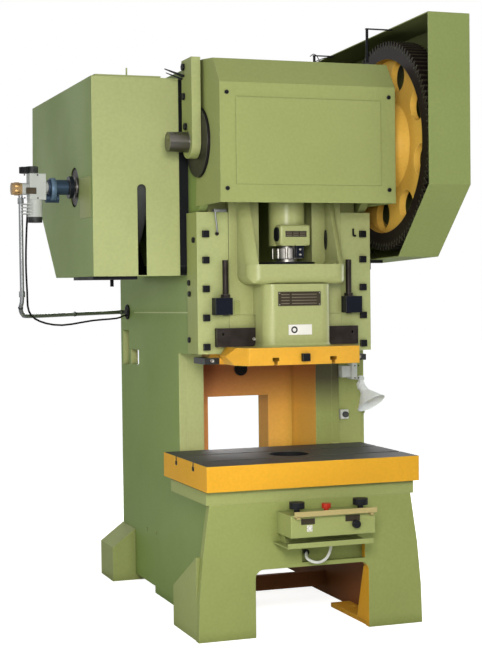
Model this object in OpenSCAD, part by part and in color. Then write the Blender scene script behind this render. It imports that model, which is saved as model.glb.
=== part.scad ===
// Open-front geared power press: welded C-frame, crosswise crankshaft turned by a
// spur gear, flywheel with an air clutch, gibbed slide, bolster table and controls.
// Millimetres. Origin on the floor below the slide axis, front is -Y, up is +Z.

/* [Table] */
// Width of the bolster plate, left to right
bolster_width = 1080; // [900:20:1300]
// Depth of the bolster plate, front to back
bolster_depth = 680; // [560:10:730]
// Thickness of the bolster plate
bolster_thickness = 120; // [100:5:150]
// Height of the table surface above the floor
table_height = 820; // [680:10:990]

/* [Frame] */
// Width over the outside faces of the two side plates
frame_width = 880; // [730:10:1060]
// Thickness of the side plates
plate_thickness = 40; // [32:1:48]
// Distance from the slide axis back to the column faces
throat_depth = 390; // [350:5:470]

/* [Crown] */
// Height of the crankshaft axis above the floor
crank_height = 2338; // [2240:10:2810]
// Full stroke of the slide
stroke = 130; // [100:2:130]

/* [Gears] */
// Gear module
gear_module = 10; // [8.4:0.2:10]
// Teeth on the main gear
gear_teeth = 102; // [84:1:102]
// Teeth on the pinion
pinion_teeth = 17; // [15:1:20]

/* [Flywheel] */
// Outside radius of the flywheel
flywheel_radius = 340; // [280:5:355]
// Width of the flywheel rim
flywheel_width = 220; // [180:5:225]
// Radius of the motor pulley
pulley_radius = 85; // [70:1:102]

/* [Slide] */
// Height of the slide flange
flange_height = 84; // [70:2:100]
// Free lift of the knock-out bar
bar_lift = 60; // [30:2:62]
// Radius of the tool shank bore
shank_radius = 30; // [20:1:36]

/* [Controls] */
// Width of the operator box
control_width = 423; // [350:5:510]
// Radius of the two palm buttons
palm_radius = 36; // [28:1:44]

/* [Hidden] */
$fn = 96;

// paint and metal
leaf = [0.66, 0.71, 0.44];
orange = [0.93, 0.66, 0.22];
steel = [0.60, 0.61, 0.60];
dark = [0.14, 0.14, 0.15];
white = [0.90, 0.90, 0.88];
red = [0.80, 0.22, 0.14];

// fits
fit = 0.05;
slip = 0.08;
guide_gap = 1;

// frame
fw = frame_width / 2;
fi = fw - plate_thickness;
head_z = crank_height - 1026;
head_top = crank_height + 384;
frame_back = 1500;
deck_z = crank_height - 88;
deck_y = 1060;
crown_back = 900;
crown_front = -42;
bed_front = -296;
front_t = 40;
bed_z = table_height - bolster_thickness;
bed_plate_t = 65;
bed_half = 530;
bed_back = 254;
foot_half = 573;
leg_in = 290;
arch_z = 318;
arch_r = 42;
slug_r = 100;
notch_z = 37;
notch_y0 = 865;
notch_y1 = 1250;
column_in = fw - 131;
column_t = 30;
throat_t = 24;
throat_back = throat_depth + 344;
window_half = 172;
window_z = table_height + 236;

// crankshaft and rod
throw = stroke / 2;
journal_r = 75;
crank_pin_r = 90;
crank_pin_half = 96;
web_r = throw + crank_pin_r + 6;
web_half = 160;
bush_r = 95;
stub_r = 50;
stub_end = fw + 163;
stub_end_r = 48;
flange_r = 165;
flange_t = 18;
boss_r = 130;
boss_in = fi - 55;
rod_r = 88;
clamp_x = 66;
clamp_h = 95;
rod_eye_r = 150;
rod_half = 90;
rod_z = crank_height - 498;
pin_z = crank_height + throw;
rod_neck_z = pin_z - throw - web_r - 4;
ball_z = crank_height - 658;
ball_r = 72;
neck_r = 50;
ratchet_z0 = crank_height - 560;
ratchet_z1 = crank_height - 510;
ratchet_r = 76;

// gears
gear_pr = gear_module * gear_teeth / 2;
pinion_pr = gear_module * pinion_teeth / 2;
centre_gap = gear_pr + pinion_pr;
shaft_drop = 183;
shaft_y = sqrt(centre_gap * centre_gap - shaft_drop * shaft_drop);
shaft_z = crank_height - shaft_drop;
shaft_r = 50;
shaft_bush_r = 75;
gear_x0 = fw + 85;
gear_w = 115;
gear_seat_r = 70;
hub_x0 = fw + 32;
hub_x1 = fw + 210;
rim_in_r = gear_pr - 78;
web_holes = 8;
web_hole_r = 75;
web_hole_pcd_r = gear_pr - 160;

// flywheel side
wheel_x1 = fw + 200;
wheel_x0 = wheel_x1 + flywheel_width;
motor_y = 1290;
motor_z = crank_height + 102;
motor_shaft_r = 24;
belt_t = 9;
belt_w = 26;
belt_count = 3;
guard_x1 = fw + 48;
guard_x0 = fw + 485;
guard_front = shaft_y - 376;
guard_z0 = crank_height - 636;
guard_z1 = crank_height + 330;
guard_knee_y = 1588;
guard_knee_z = crank_height - 62;
guard_toe_y = 1012;
guard_t = 4;
eye_r = 100;

// slide
slide_z = crank_height - 1068;
gib_x = fw - 144;
gib_front = 19;
gib_t = 38;
gib_back = gib_front + gib_t;
way_front = 178;
way_t = 40;
gib_top = crank_height - 331;
housing_x = fw + 17;
wing_x = fw - 52;
wing_open = 140;
skirt_x = fw - 12;
skirt_h = 30;
body_x = 174;
body_front = -160;
body_r = 58;
body_foot = 18;
body_top = slide_z + 385;
yoke_x = gib_x - 42;
yoke_front = -168;
yoke_r = 66;
yoke_in = yoke_x - 46;
yoke_lean = 22;
saddle_z = slide_z + 480;
saddle_edge = 35;
arm_top = slide_z + 890;
flange_x = 318;
flange_end = 350;
flange_front = -223;
flange_face = 285;
t_slot_x = 148;
bar_z = slide_z + flange_height + 0.5;
bar_h = 90;
bar_half = 372;
shank_depth = 50;
pin_r = 10;
bar_y = 16;
slot_top = bar_z + bar_h + bar_lift + 3;

// controls
control_x0 = -180;
control_x1 = control_x0 + control_width;
control_front = -472;
control_z0 = 487;
control_z1 = 590;
palm_x = control_width / 2 - 51;
control_mid = (control_x0 + control_x1) / 2;
button_y = -420;

// electric cabinet and lamp
cab_x1 = fw + 135;
cab_y0 = throat_depth + 12;
cab_y1 = cab_y0 + 500;
cab_z0 = table_height - 180;
cab_z1 = head_z - 12;
door_t = 14;

// box between two corners
module bx(x0, x1, y0, y1, z0, z1) {
  translate([x0, y0, z0]) cube([x1 - x0, y1 - y0, z1 - z0]);
}

// cylinders along the three axes
module xc(x0, x1, y, z, r) {
  translate([x0, y, z]) rotate([0, 90, 0]) cylinder(h = x1 - x0, r = r);
}
module yc(y0, y1, x, z, r) {
  translate([x, y1, z]) rotate([90, 0, 0]) cylinder(h = y1 - y0, r = r);
}
module zc(z0, z1, x, y, r) {
  translate([x, y, z0]) cylinder(h = z1 - z0, r = r);
}

// outlines drawn in (y, z) and carried along X, or in (x, z) and carried along Y
module xp(x0, x1, pts) {
  translate([x0, 0, 0]) rotate([90, 0, 90]) linear_extrude(height = x1 - x0) polygon(pts);
}
module yp(y0, y1, pts) {
  translate([0, y1, 0]) rotate([90, 0, 0]) linear_extrude(height = y1 - y0) polygon(pts);
}

// the same shape on the left and on the right
module both() {
  children();
  mirror([1, 0, 0]) children();
}

// flat outline from -w to w with its two corners at y0 rounded
module soft(w, y0, y1, r) {
  translate([-w + r, y0]) square([2 * (w - r), y1 - y0]);
  translate([-w, y0 + r]) square([2 * w, y1 - y0 - r]);
  for (s = [-1, 1]) translate([s * (w - r), y0 + r]) circle(r);
}

// tube swept along a route of points
function unit(v) = v / norm(v);
function lead(p, i) = i == 0 ? unit(p[1] - p[0])
  : i == len(p) - 1 ? unit(p[i] - p[i - 1])
  : unit(unit(p[i] - p[i - 1]) + unit(p[i + 1] - p[i]));
function ring(c, d, ref, r, n) = let (a = unit(cross(d, ref)), b = cross(d, a))
  [for (k = [0 : n - 1]) c + r * (cos(360 * k / n) * a + sin(360 * k / n) * b)];
module tube(p, r, ref, n = 10) {
  m = len(p);
  pts = [for (i = [0 : m - 1]) each ring(p[i], lead(p, i), ref, r, n)];
  walls = [for (i = [0 : m - 2]) for (k = [0 : n - 1]) each [
    [i * n + k, (i + 1) * n + (k + 1) % n, i * n + (k + 1) % n],
    [i * n + k, (i + 1) * n + k, (i + 1) * n + (k + 1) % n]]];
  first = [[for (k = [0 : n - 1]) k]];
  last = [[for (k = [0 : n - 1]) (m - 1) * n + n - 1 - k]];
  polyhedron(points = pts, faces = concat(walls, first, last), convexity = 6);
}

// hexagon or square head with a shank, along X or Y
module head_x(x0, x1, y, z, r, n) {
  translate([x0, y, z]) rotate([0, 90, 0]) rotate([0, 0, 45]) cylinder(h = x1 - x0, r = r, $fn = n);
}
module head_y(y0, y1, x, z, r, n) {
  translate([x, y1, z]) rotate([90, 0, 0]) rotate([0, 0, 45]) cylinder(h = y1 - y0, r = r, $fn = n);
}

// ---------------------------------------------------------------- frame

// outline of a side plate in (y, z)
side_outline = [
  [bed_front + front_t, 0], [notch_y0, 0], [notch_y0, notch_z], [frame_back, notch_z],
  [frame_back, deck_z], [deck_y, deck_z], [crown_back, head_top],
  [crown_front, head_top], [crown_front, crank_height + 300], [-170, crank_height + 160],
  [-170, crank_height - 140], [40, gib_top + 3], [way_front, gib_top + 3],
  [way_front, head_z], [throat_depth, head_z], [throat_depth, bed_z],
  [bed_back, bed_z], [bed_back, bed_z - bed_plate_t], [bed_front + front_t, bed_z - bed_plate_t]
];

module side_plate() {
  difference() {
    union() {
      xp(fi, fw, side_outline);
      xc(boss_in, fi, 0, crank_height, boss_r);
      xc(fi - 30, fi, shaft_y, shaft_z, shaft_bush_r + 30);
      cover_lug(crank_height + 204);
      cover_lug(crank_height - 238);
    }
    xc(boss_in - 1, fw + 1, 0, crank_height, bush_r);
    xc(fi - 31, fw + 1, shaft_y, shaft_z, shaft_bush_r);
  }
}

// lug that carries one corner of the head cover
module cover_lug(z) {
  bx(fi - 24, fi, -285, 10, z - 15, z + 15);
  bx(fi - 24, fi + 26, -303, -285, z - 15, z + 15);
}

module side_plate_left() {
  color(leaf) difference() {
    mirror([1, 0, 0]) side_plate();
    // openings near the rear edge, above each other
    bx(-fw - 1, -fi + 1, 1129, 1291, head_z - 95, head_z - 12);
    bx(-fw - 1, -fi + 1, 1330, 1457, head_z - 104, head_z + 91);
    // entry for the air pipe
    xc(-fw - 1, -fi + 1, 1344, head_z + 196, 34);
    // fixing slots low on the plate
    xc(-fw - 1, -fi + 1, 1007, arch_z + 6, 10);
    xc(-fw - 1, -fi + 1, 829, arch_z + 11, 10);
  }
}

module side_plate_right() {
  color(leaf) side_plate();
}

// plate across the front of the bed, with the arch between its two legs
module front_plate() {
  rec_z = 338;
  color(leaf) difference() {
    yp(bed_front, bed_front + front_t, [
      [-foot_half, 0], [-567, 190], [-548, 400], [-514, bed_z - bed_plate_t],
      [514, bed_z - bed_plate_t], [548, 400], [567, 190], [foot_half, 0]
    ]);
    difference() {
      bx(-leg_in, leg_in, bed_front - 1, bed_front + front_t + 1, -1, arch_z);
      both() difference() {
        bx(leg_in - arch_r, leg_in + 1, bed_front - 2, bed_front + front_t + 2, arch_z - arch_r, arch_z + 1);
        yc(bed_front - 3, bed_front + front_t + 3, leg_in - arch_r, arch_z - arch_r, arch_r);
      }
    }
    bx(-55, 270, bed_front - 1, bed_front + 34, rec_z, rec_z + 73);
  }
}

module bed_top_plate() {
  color(leaf) difference() {
    bx(-bed_half, bed_half, bed_front, bed_back, bed_z - bed_plate_t, bed_z);
    zc(bed_z - bed_plate_t - 1, bed_z + 1, 0, 0, slug_r + 5);
  }
}

// column faces, throat walls and the framed window at the back of the throat
module throat_shell() {
  y1 = throat_depth + column_t;
  color(orange) difference() {
    union() {
      both() bx(column_in, fi, throat_depth, y1, bed_z, head_z);
      both() bx(column_in, column_in + throat_t, y1, throat_back, bed_z, head_z);
      bx(-column_in - throat_t, column_in + throat_t, throat_back, throat_back + throat_t, bed_z - 60, head_z);
      both() bx(window_half, window_half + 20, throat_back + throat_t, throat_back + 150, bed_z - 60, window_z + 20);
      bx(-window_half, window_half, throat_back + throat_t, throat_back + 150, window_z, window_z + 20);
    }
    bx(-window_half, window_half, throat_back - 1, throat_back + throat_t + 1, bed_z, window_z);
  }
}

// cross members welded between the side plates
module cross_plates() {
  color(orange) {
    bx(-fi, fi, 496, 526, 44, 124);
    bx(-fi, fi, throat_back - 40, throat_back, bed_z - 100, bed_z - 60);
    bx(-fi, fi, frame_back - 30, frame_back, 290, bed_z - 90);
    bx(-fi, fi, frame_back - 30, frame_back, head_z + 120, deck_z - 31);
  }
  color(leaf) {
    bx(-fi, fi, way_front + way_t, frame_back - 160, head_z, head_z + 30);
    bx(-fi, fi, deck_y + 10, frame_back, deck_z - 30, deck_z);
    bx(-fi, fi, crown_front + 2, crown_back - 20, head_top - 30, head_top);
  }
}

// boxed feet outside the side plates, with the anchored floor flanges inside
module feet() {
  wall = 24;
  front_y = bed_front + front_t;
  color(leaf) {
    both() difference() {
      xp(fw, foot_half - 4, [[front_y, 0], [111, 0], [111, 196], [front_y, 392]]);
      xp(fw - 1, foot_half - wall - 4, [[front_y - 1, -1], [111 - wall, -1], [111 - wall, 182], [front_y - 1, 364]]);
    }
    both() difference() {
      yp(notch_y1, frame_back + 14, [[fw, 0], [foot_half, 0], [foot_half, 190], [fw, 290]]);
      yp(notch_y1 + wall, frame_back + 14 - wall, [[fw - 1, -1], [foot_half - wall, -1], [foot_half - wall, 174], [fw - 1, 263]]);
    }
  }
  color(orange) {
    both() difference() {
      bx(leg_in + 6, fi, front_y, 186, 0, 22);
      zc(-1, 23, 365, 60, 15);
    }
    both() difference() {
      bx(leg_in + 6, fi, notch_y1, frame_back, 0, 22);
      zc(-1, 23, 365, 1380, 15);
    }
    both() bx(fi, fw, notch_y1, frame_back, 0, notch_z);
    both() xp(leg_in, leg_in + 16, [[front_y, 22], [-150, 22], [-236, arch_z - 30], [front_y, arch_z - 30]]);
  }
}

module bolster_plate() {
  tw = 11;
  bw = 19;
  slot_y = 134;
  color(orange) difference() {
    bx(-bolster_width / 2, bolster_width / 2, -bolster_depth / 2, bolster_depth / 2, bed_z, table_height);
    zc(bed_z - 1, table_height + 1, 0, 0, slug_r);
    for (s = [-1, 1]) {
      bx(-bolster_width, bolster_width, s * slot_y - tw, s * slot_y + tw, table_height - 24, table_height + 1);
      bx(-bolster_width, bolster_width, s * slot_y - bw, s * slot_y + bw, table_height - 42, table_height - 22);
    }
  }
}

// ---------------------------------------------------------------- slide guides

module guide_ways() {
  color(steel) both() bx(gib_x, fi, way_front, way_front + way_t, head_z, gib_top);
}

module gib_housings() {
  color(leaf) both() difference() {
    bx(wing_x + 2, housing_x, gib_back, way_front, head_z + 8, gib_top);
    for (z = gib_zs) yc(gib_back - 1, gib_back + 60, gib_bolt_x, z, gib_bolt_r + fit);
  }
}

gib_zs = [crank_height - 437, crank_height - 563, crank_height - 702, crank_height - 842, crank_height - 983];
gib_bolt_x = fw - 26;
gib_bolt_r = 11;

module gib_plates() {
  color(leaf) both() difference() {
    bx(gib_x, housing_x, gib_front, gib_back, head_z + 8, gib_top);
    for (z = gib_zs) yc(gib_front - 1, gib_back + 1, gib_bolt_x, z, gib_bolt_r + fit);
  }
}

// square-headed bolts through the gib plates
module gib_bolts() {
  color(dark) both() for (z = gib_zs) {
    head_y(gib_front - 16, gib_front, gib_bolt_x, z, 23, 4);
    yc(gib_front, gib_back + 58, gib_bolt_x, z, gib_bolt_r);
  }
}

// ---------------------------------------------------------------- crown

module bearing_bushes() {
  color([0.72, 0.52, 0.25]) {
    both() difference() {
      xc(boss_in, fw, 0, crank_height, bush_r - fit);
      xc(boss_in - 1, fw + 1, 0, crank_height, journal_r + slip);
    }
    both() difference() {
      xc(fi - 30, fw, shaft_y, shaft_z, shaft_bush_r - fit);
      xc(fi - 31, fw + 1, shaft_y, shaft_z, shaft_r + slip);
    }
  }
}

module bearing_flanges() {
  color(dark) {
    difference() {
      xc(-fw - flange_t, -fw, 0, crank_height, flange_r);
      xc(-fw - flange_t - 1, -fw + 1, 0, crank_height, stub_r + 2);
    }
    difference() {
      xc(fw, fw + flange_t, 0, crank_height, flange_r);
      xc(fw - 1, fw + flange_t + 1, 0, crank_height, journal_r + 2);
    }
  }
}

bracket_x0 = fw + 65;
bracket_x1 = fw + 20;
bracket_zs = [crank_height + 377, crank_height + 236];
bracket_y = 38;

// bar that carries the outer end of the shaft
module shaft_bracket() {
  color(leaf) difference() {
    union() {
      xc(-bracket_x0, -bracket_x1, 0, crank_height, 78);
      bx(-bracket_x0, -bracket_x1, -78, 78, crank_height, head_top + 13);
      for (z = bracket_zs) xc(-bracket_x1, -fw, bracket_y, z - 14, 20);
    }
    xc(-bracket_x0 - 1, -bracket_x1 + 1, 0, crank_height, stub_r + slip);
    for (z = bracket_zs) xc(-bracket_x0 - 1, -fw + 1, bracket_y, z - 14, 10 + fit);
    xc(-bracket_x0 - 1, -bracket_x0 + 20, 12, crank_height + 76, 10 + fit);
  }
}

side_bolts = [[46, crank_height - 465], [125, crank_height - 672], [119, crank_height - 726], [129, crank_height - 951]];

// hexagon bolts of the shaft bracket and of the gib housings
module hex_bolts() {
  color(dark) {
    for (z = bracket_zs) {
      head_x(-bracket_x0 - 12, -bracket_x0, bracket_y, z - 14, 18, 6);
      xc(-bracket_x0, -fw, bracket_y, z - 14, 10);
    }
    head_x(-bracket_x0 - 12, -bracket_x0, 12, crank_height + 76, 18, 6);
    xc(-bracket_x0, -bracket_x0 + 19, 12, crank_height + 76, 10);
    both() for (p = side_bolts) head_x(housing_x, housing_x + 10, p[0] + 14, p[1], 14, 6);
  }
}

cover_t = 5;
cover_front = -308;
cover_z0 = crank_height - 302;
cover_z1 = crank_height + 252;
panel_half = 367;

// pressed sheet cover over the crank, open below and behind
module head_cover() {
  t = cover_t;
  color(leaf) difference() {
    union() {
      xp(-fw - t, fw + t, [
        [cover_front, cover_z0], [cover_front, cover_z1], [-215, head_top - 10],
        [-52, head_top + t], [-28, head_top + t], [66, cover_z0]
      ]);
      bx(-panel_half, panel_half, cover_front - 5, cover_front + 1, crank_height - 218, crank_height + 184);
    }
    xp(-fw, fw, [
      [cover_front + t, cover_z0 - 1], [cover_front + t, cover_z1 - 2], [-212, head_top - 15],
      [-50, head_top], [200, head_top], [200, cover_z0 - 1]
    ]);
    xc(-fw - t - 1, fw + t + 1, 0, crank_height, flange_r + 4);
    for (z = bracket_zs) xc(-fw - t - 1, -fw + 1, bracket_y, z - 14, 24);
    for (z = [crank_height + 204, crank_height - 238]) for (s = [-1, 1])
      yc(cover_front - 1, cover_front + t + 1, s * (fw - 29), z, 6 + fit);
  }
}

module cover_screws() {
  color(dark) for (z = [crank_height + 204, crank_height - 238]) for (s = [-1, 1]) {
    yc(cover_front - 5, cover_front, s * (fw - 29), z, 10);
    yc(cover_front, cover_front + cover_t, s * (fw - 29), z, 6);
  }
}

// ---------------------------------------------------------------- crankshaft and gears

module crankshaft() {
  color(steel) {
    xc(-stub_end, -bracket_x0 - 1, 0, crank_height, stub_end_r);
    xc(-bracket_x0 - 1, -fw, 0, crank_height, stub_r);
    xc(-fw, -web_half, 0, crank_height, journal_r);
    both() xc(crank_pin_half, web_half, 0, crank_height, web_r);
    xc(-crank_pin_half, crank_pin_half, 0, pin_z, crank_pin_r);
    xc(web_half, hub_x0, 0, crank_height, journal_r);
    xc(hub_x0, hub_x1 + 12, 0, crank_height, gear_seat_r);
  }
}

// one flank point of an involute tooth: base radius, roll angle, half angle at the base
function involute(rb, t, half) = let (r = rb / cos(t), a = tan(t) * 180 / PI - t)
  [r, half - a];
function tooth(rb, ro, rr, half, n) = let (
    tip = acos(rb / ro),
    side = [for (i = [0 : n]) involute(rb, tip * i / n, half)]
  ) concat([[rr, side[0][1]]], side);
// closed outline of a spur gear with its first tooth centred on the angle turn
function gear_outline(m, z, slack, turn, n) = let (
    rp = m * z / 2, rb = rp * cos(20), ro = rp + m, rr = rp - 1.25 * m,
    inv = tan(20) * 180 / PI - 20,
    half = 90 / z + inv - slack / rp * 90 / PI,
    low = min(rr, rb),
    flank = rr < rb ? tooth(rb, ro, low, half, n) : tooth(rb, ro, rr, half, n)
  ) [for (k = [0 : z - 1]) each concat(
    [for (i = [0 : len(flank) - 1]) let (a = turn + 360 * k / z - flank[i][1])
      flank[i][0] * [cos(a), sin(a)]],
    [for (i = [len(flank) - 1 : -1 : 0]) let (a = turn + 360 * k / z + flank[i][1])
      flank[i][0] * [cos(a), sin(a)]])];

pair_angle = atan2(-shaft_drop, shaft_y);
backlash = 1.2;

module main_gear() {
  gx1 = gear_x0 + gear_w;
  color(orange) difference() {
    union() {
      difference() {
        translate([gear_x0, 0, crank_height]) rotate([90, 0, 90]) linear_extrude(height = gear_w)
          polygon(gear_outline(gear_module, gear_teeth, backlash, pair_angle, 2));
        xc(gear_x0 - 1, gx1 + 1, 0, crank_height, rim_in_r);
      }
      difference() {
        xc(gear_x0 + 40, gear_x0 + 74, 0, crank_height, rim_in_r + 1);
        for (k = [0 : web_holes - 1]) let (a = 30 + 360 * k / web_holes)
          xc(gear_x0 + 39, gear_x0 + 75, -web_hole_pcd_r * cos(a), crank_height + web_hole_pcd_r * sin(a), web_hole_r);
      }
      translate([0, 0, crank_height]) rotate([0, 90, 0]) rotate_extrude() polygon([
        [gear_seat_r - 5, hub_x0], [150, hub_x0], [172, hub_x0 + 14], [200, gear_x0 + 12],
        [222, gear_x0 + 42], [222, gear_x0 + 60], [150, hub_x1], [gear_seat_r - 5, hub_x1]
      ]);
    }
    xc(hub_x0 - 1, hub_x1 + 1, 0, crank_height, gear_seat_r + fit);
  }
}

module clutch_shaft() {
  color(steel) {
    xc(-wheel_x0 - 66, gear_x0 + gear_w + 12, shaft_y, shaft_z, shaft_r);
    xc(-wheel_x0 - 112, -wheel_x0 - 66, shaft_y, shaft_z, 20);
  }
}

module pinion() {
  turn = 180 + pair_angle + 180 / pinion_teeth;
  color(steel) difference() {
    translate([gear_x0, shaft_y, shaft_z]) rotate([90, 0, 90]) linear_extrude(height = gear_w)
      polygon(gear_outline(gear_module, pinion_teeth, backlash, turn, 4));
    xc(gear_x0 - 1, gear_x0 + gear_w + 1, shaft_y, shaft_z, shaft_r + fit);
  }
}

// ---------------------------------------------------------------- connecting rod

module connecting_rod() {
  color(leaf) difference() {
    union() {
      zc(rod_z, rod_neck_z, 0, 0, rod_r);
      translate([0, 0, rod_z]) linear_extrude(height = clamp_h) soft(clamp_x, -112, 48, 16);
      intersection() {
        zc(rod_neck_z, pin_z, 0, 0, rod_r);
        bx(-rod_half, rod_half, -rod_r, rod_r, rod_neck_z - 1, pin_z + 1);
      }
      xc(-rod_half, rod_half, 0, pin_z, rod_eye_r);
    }
    xc(-rod_half - 1, rod_half + 1, 0, pin_z, crank_pin_r + slip);
    bx(-rod_eye_r - 5, rod_eye_r + 5, -rod_eye_r - 5, rod_eye_r + 5, pin_z, pin_z + rod_eye_r + 5);
    zc(rod_z - 1, rod_z + 150, 0, 0, neck_r + slip);
    bx(-2, 2, -113, -neck_r + 8, rod_z - 1, rod_z + clamp_h + 1);
    for (s = [-1, 1]) zc(pin_z - 90, pin_z + 1, 0, s * 122, 12 + fit);
  }
}

module rod_cap() {
  color(leaf) difference() {
    xc(-rod_half, rod_half, 0, pin_z, rod_eye_r);
    xc(-rod_half - 1, rod_half + 1, 0, pin_z, crank_pin_r + slip);
    bx(-rod_eye_r, rod_eye_r, -rod_eye_r - 5, rod_eye_r + 5, pin_z - rod_eye_r - 5, pin_z + 0.2);
    for (s = [-1, 1]) zc(pin_z - 1, pin_z + rod_eye_r, 0, s * 122, 12 + fit);
    for (s = [-1, 1]) zc(pin_z + 50, pin_z + rod_eye_r, 0, s * 122, 26);
  }
}

module rod_cap_bolts() {
  color(steel) for (s = [-1, 1]) {
    zc(pin_z - 88, pin_z + 50, 0, s * 122, 12);
    translate([0, s * 122, pin_z + 50]) cylinder(h = 18, r = 22, $fn = 6);
  }
}

// screw with the ratchet wheel above and the ball below, seen in the slide
module adjusting_screw() {
  color(steel) difference() {
    union() {
      zc(ball_z, rod_z + 130, 0, 0, neck_r);
      zc(ratchet_z0, ratchet_z1, 0, 0, ratchet_r);
      translate([0, 0, ball_z]) sphere(r = ball_r);
    }
    for (k = [0 : 11]) let (a = 30 * k + 8)
      zc(ratchet_z0 - 1, ratchet_z1 + 1, (ratchet_r + 3) * cos(a), (ratchet_r + 3) * sin(a), 9);
  }
}

// ---------------------------------------------------------------- slide

module ram_pocket(r, z0, z1) {
  zc(z0, z1, 0, 0, r);
  zc(z0, z1, 0, throw, r);
  bx(-r, r, 0, throw, z0, z1);
}

// concave fillet of radius f, drawn from the corner outwards
module fillet(f) {
  difference() {
    square(f);
    translate([f, f]) circle(f);
  }
}

// fillet round the foot of the block, on top of the flange
module block_foot(fz) {
  cx = body_x - body_r;
  cy = body_front + body_r;
  translate([-cx, body_front, fz]) rotate([90, 0, 90]) linear_extrude(height = 2 * cx)
    mirror([1, 0]) fillet(body_foot);
  both() {
    translate([body_x, gib_front - 5, fz]) rotate([90, 0, 0]) linear_extrude(height = gib_front - 5 - cy)
      fillet(body_foot);
    translate([cx, cy, fz]) rotate_extrude() translate([body_r, 0]) fillet(body_foot);
  }
}

// seat below the rod: overhangs the block, its lower edges rounded
module saddle() {
  h = saddle_z - body_top;
  intersection() {
    translate([0, 0, body_top]) linear_extrude(height = h) soft(yoke_x, yoke_front, gib_front, yoke_r);
    translate([0, gib_front, 0]) rotate([90, 0, 0]) linear_extrude(height = gib_front - yoke_front)
      soft(yoke_x, body_top, saddle_z, 50);
    translate([-yoke_x, 0, 0]) rotate([90, 0, 90]) linear_extrude(height = 2 * yoke_x) {
      translate([yoke_front + saddle_edge, body_top]) square([gib_front - yoke_front - saddle_edge, h]);
      translate([yoke_front, body_top + saddle_edge]) square([gib_front - yoke_front, h - saddle_edge]);
      translate([yoke_front + saddle_edge, body_top + saddle_edge]) circle(saddle_edge);
    }
  }
}

// upright arm of the yoke, leaning back towards the guides
module yoke_arm() {
  intersection() {
    bx(yoke_in, yoke_x, yoke_front, gib_front, saddle_z - 1, arm_top);
    translate([0, yoke_front, saddle_z]) rotate([-yoke_lean, 0, 0])
      translate([0, 0, -60]) linear_extrude(height = 600) soft(yoke_x, 0, 300, yoke_r);
  }
  // fillet between the arm and the saddle
  translate([yoke_in, gib_front, saddle_z]) rotate([90, 0, 0])
    linear_extrude(height = gib_front - yoke_front - 40) mirror([1, 0]) fillet(25);
}

module slide_body() {
  fz = slide_z + flange_height;
  back = way_front - guide_gap;
  vertex_z = slide_z + flange_height / 2;
  color(leaf) difference() {
    union() {
      // flange with cut corners and pointed ends
      intersection() {
        linear_extrude(height = fz) polygon([
          [-flange_face, flange_front], [flange_face, flange_front], [flange_end, flange_front + 151],
          [flange_end, gib_front - 5], [-flange_end, gib_front - 5], [-flange_end, flange_front + 151]
        ]);
        yp(flange_front, gib_front - 5, [
          [-flange_end + 25, slide_z], [flange_end - 25, slide_z], [flange_end, vertex_z],
          [flange_x, fz], [-flange_x, fz], [-flange_end, vertex_z]
        ]);
      }
      bx(-skirt_x, skirt_x, gib_front - 5, back, slide_z, slide_z + skirt_h);
      // front of the body with rounded upright edges
      translate([0, 0, fz]) linear_extrude(height = body_top - fz) soft(body_x, body_front, gib_front, body_r);
      block_foot(fz);
      // block between the gibs and the two guide wings
      bx(-gib_x + guide_gap, gib_x - guide_gap, gib_front - 5, back, slide_z, saddle_z);
      both() bx(wing_open, gib_x - guide_gap, gib_front - 5, back, saddle_z, arm_top);
      both() bx(gib_x - guide_gap, wing_x, gib_back + guide_gap, back, slide_z + skirt_h, arm_top);
      saddle();
      both() yoke_arm();
    }
    // pocket for the ball, long enough for the swing of the rod
    ram_pocket(ball_r + 3, ball_z - 90, saddle_z + 1);
    // slot for the knock-out bar
    bx(-body_x - 250, body_x + 250, -bar_y - 1, bar_y + 1, fz, slot_top);
    // tool shank bore and the bore of the knock-out pin
    zc(slide_z - 1, slide_z + shank_depth, 0, 0, shank_radius);
    zc(slide_z + shank_depth - 1, fz + 1, 0, 0, pin_r + slip);
    yc(flange_front - 1, -shank_radius + 5, 0, slide_z + 35, 14 + fit);
    // T-slots for the upper die, front to back
    for (s = [-1, 1]) {
      bx(s * t_slot_x - 9, s * t_slot_x + 9, flange_front - 1, back + 1, slide_z - 1, slide_z + 20);
      bx(s * t_slot_x - 17, s * t_slot_x + 17, flange_front - 1, back + 1, slide_z + 18, slide_z + 36);
    }
  }
}

retainer_t = 12;

module ball_retainer() {
  color(dark) difference() {
    zc(saddle_z, saddle_z + retainer_t, 0, 0, 137);
    ram_pocket(neck_r + 3, saddle_z - 1, saddle_z + retainer_t + 1);
  }
}

// two blank plates on the front of the slide
module slide_plates() {
  color(dark) bx(-110, 110, body_front - 3, body_front, slide_z + 280, slide_z + 348);
  color(white) bx(-58, 63, body_front - 2, body_front, slide_z + 140, slide_z + 190);
}

module shank_screw() {
  color(dark) {
    head_y(flange_front - 26, flange_front, 0, slide_z + 35, 26, 4);
    yc(flange_front, -shank_radius - 2, 0, slide_z + 35, 14);
  }
}

module knockout_bar() {
  color(dark) difference() {
    bx(-bar_half, bar_half, -bar_y, bar_y, bar_z, bar_z + bar_h);
    for (s = [-1, 1]) yc(-bar_y - 1, bar_y + 1, s * 340, bar_z + 60, 7);
  }
}

module knockout_pin() {
  color(steel) zc(slide_z + shank_depth + 1, bar_z, 0, 0, pin_r);
}

stop_x = gib_x + 28;
stop_z0 = slot_top + 2.5;
stop_z1 = crank_height - 746;

// brackets on the gib plates for the knock-out stop screws
module stop_blocks() {
  color(dark) both() difference() {
    bx(gib_x + 2, gib_x + 88, -42, gib_front, stop_z0, stop_z1);
    zc(stop_z0 - 1, stop_z1 + 1, stop_x, -12, 14 + fit);
  }
}

module stop_screws() {
  color(steel) both() {
    zc(stop_z0 - 4, crank_height - 564, stop_x, -12, 14);
    translate([stop_x, -12, stop_z1]) cylinder(h = 16, r = 24, $fn = 6);
  }
}

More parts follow.
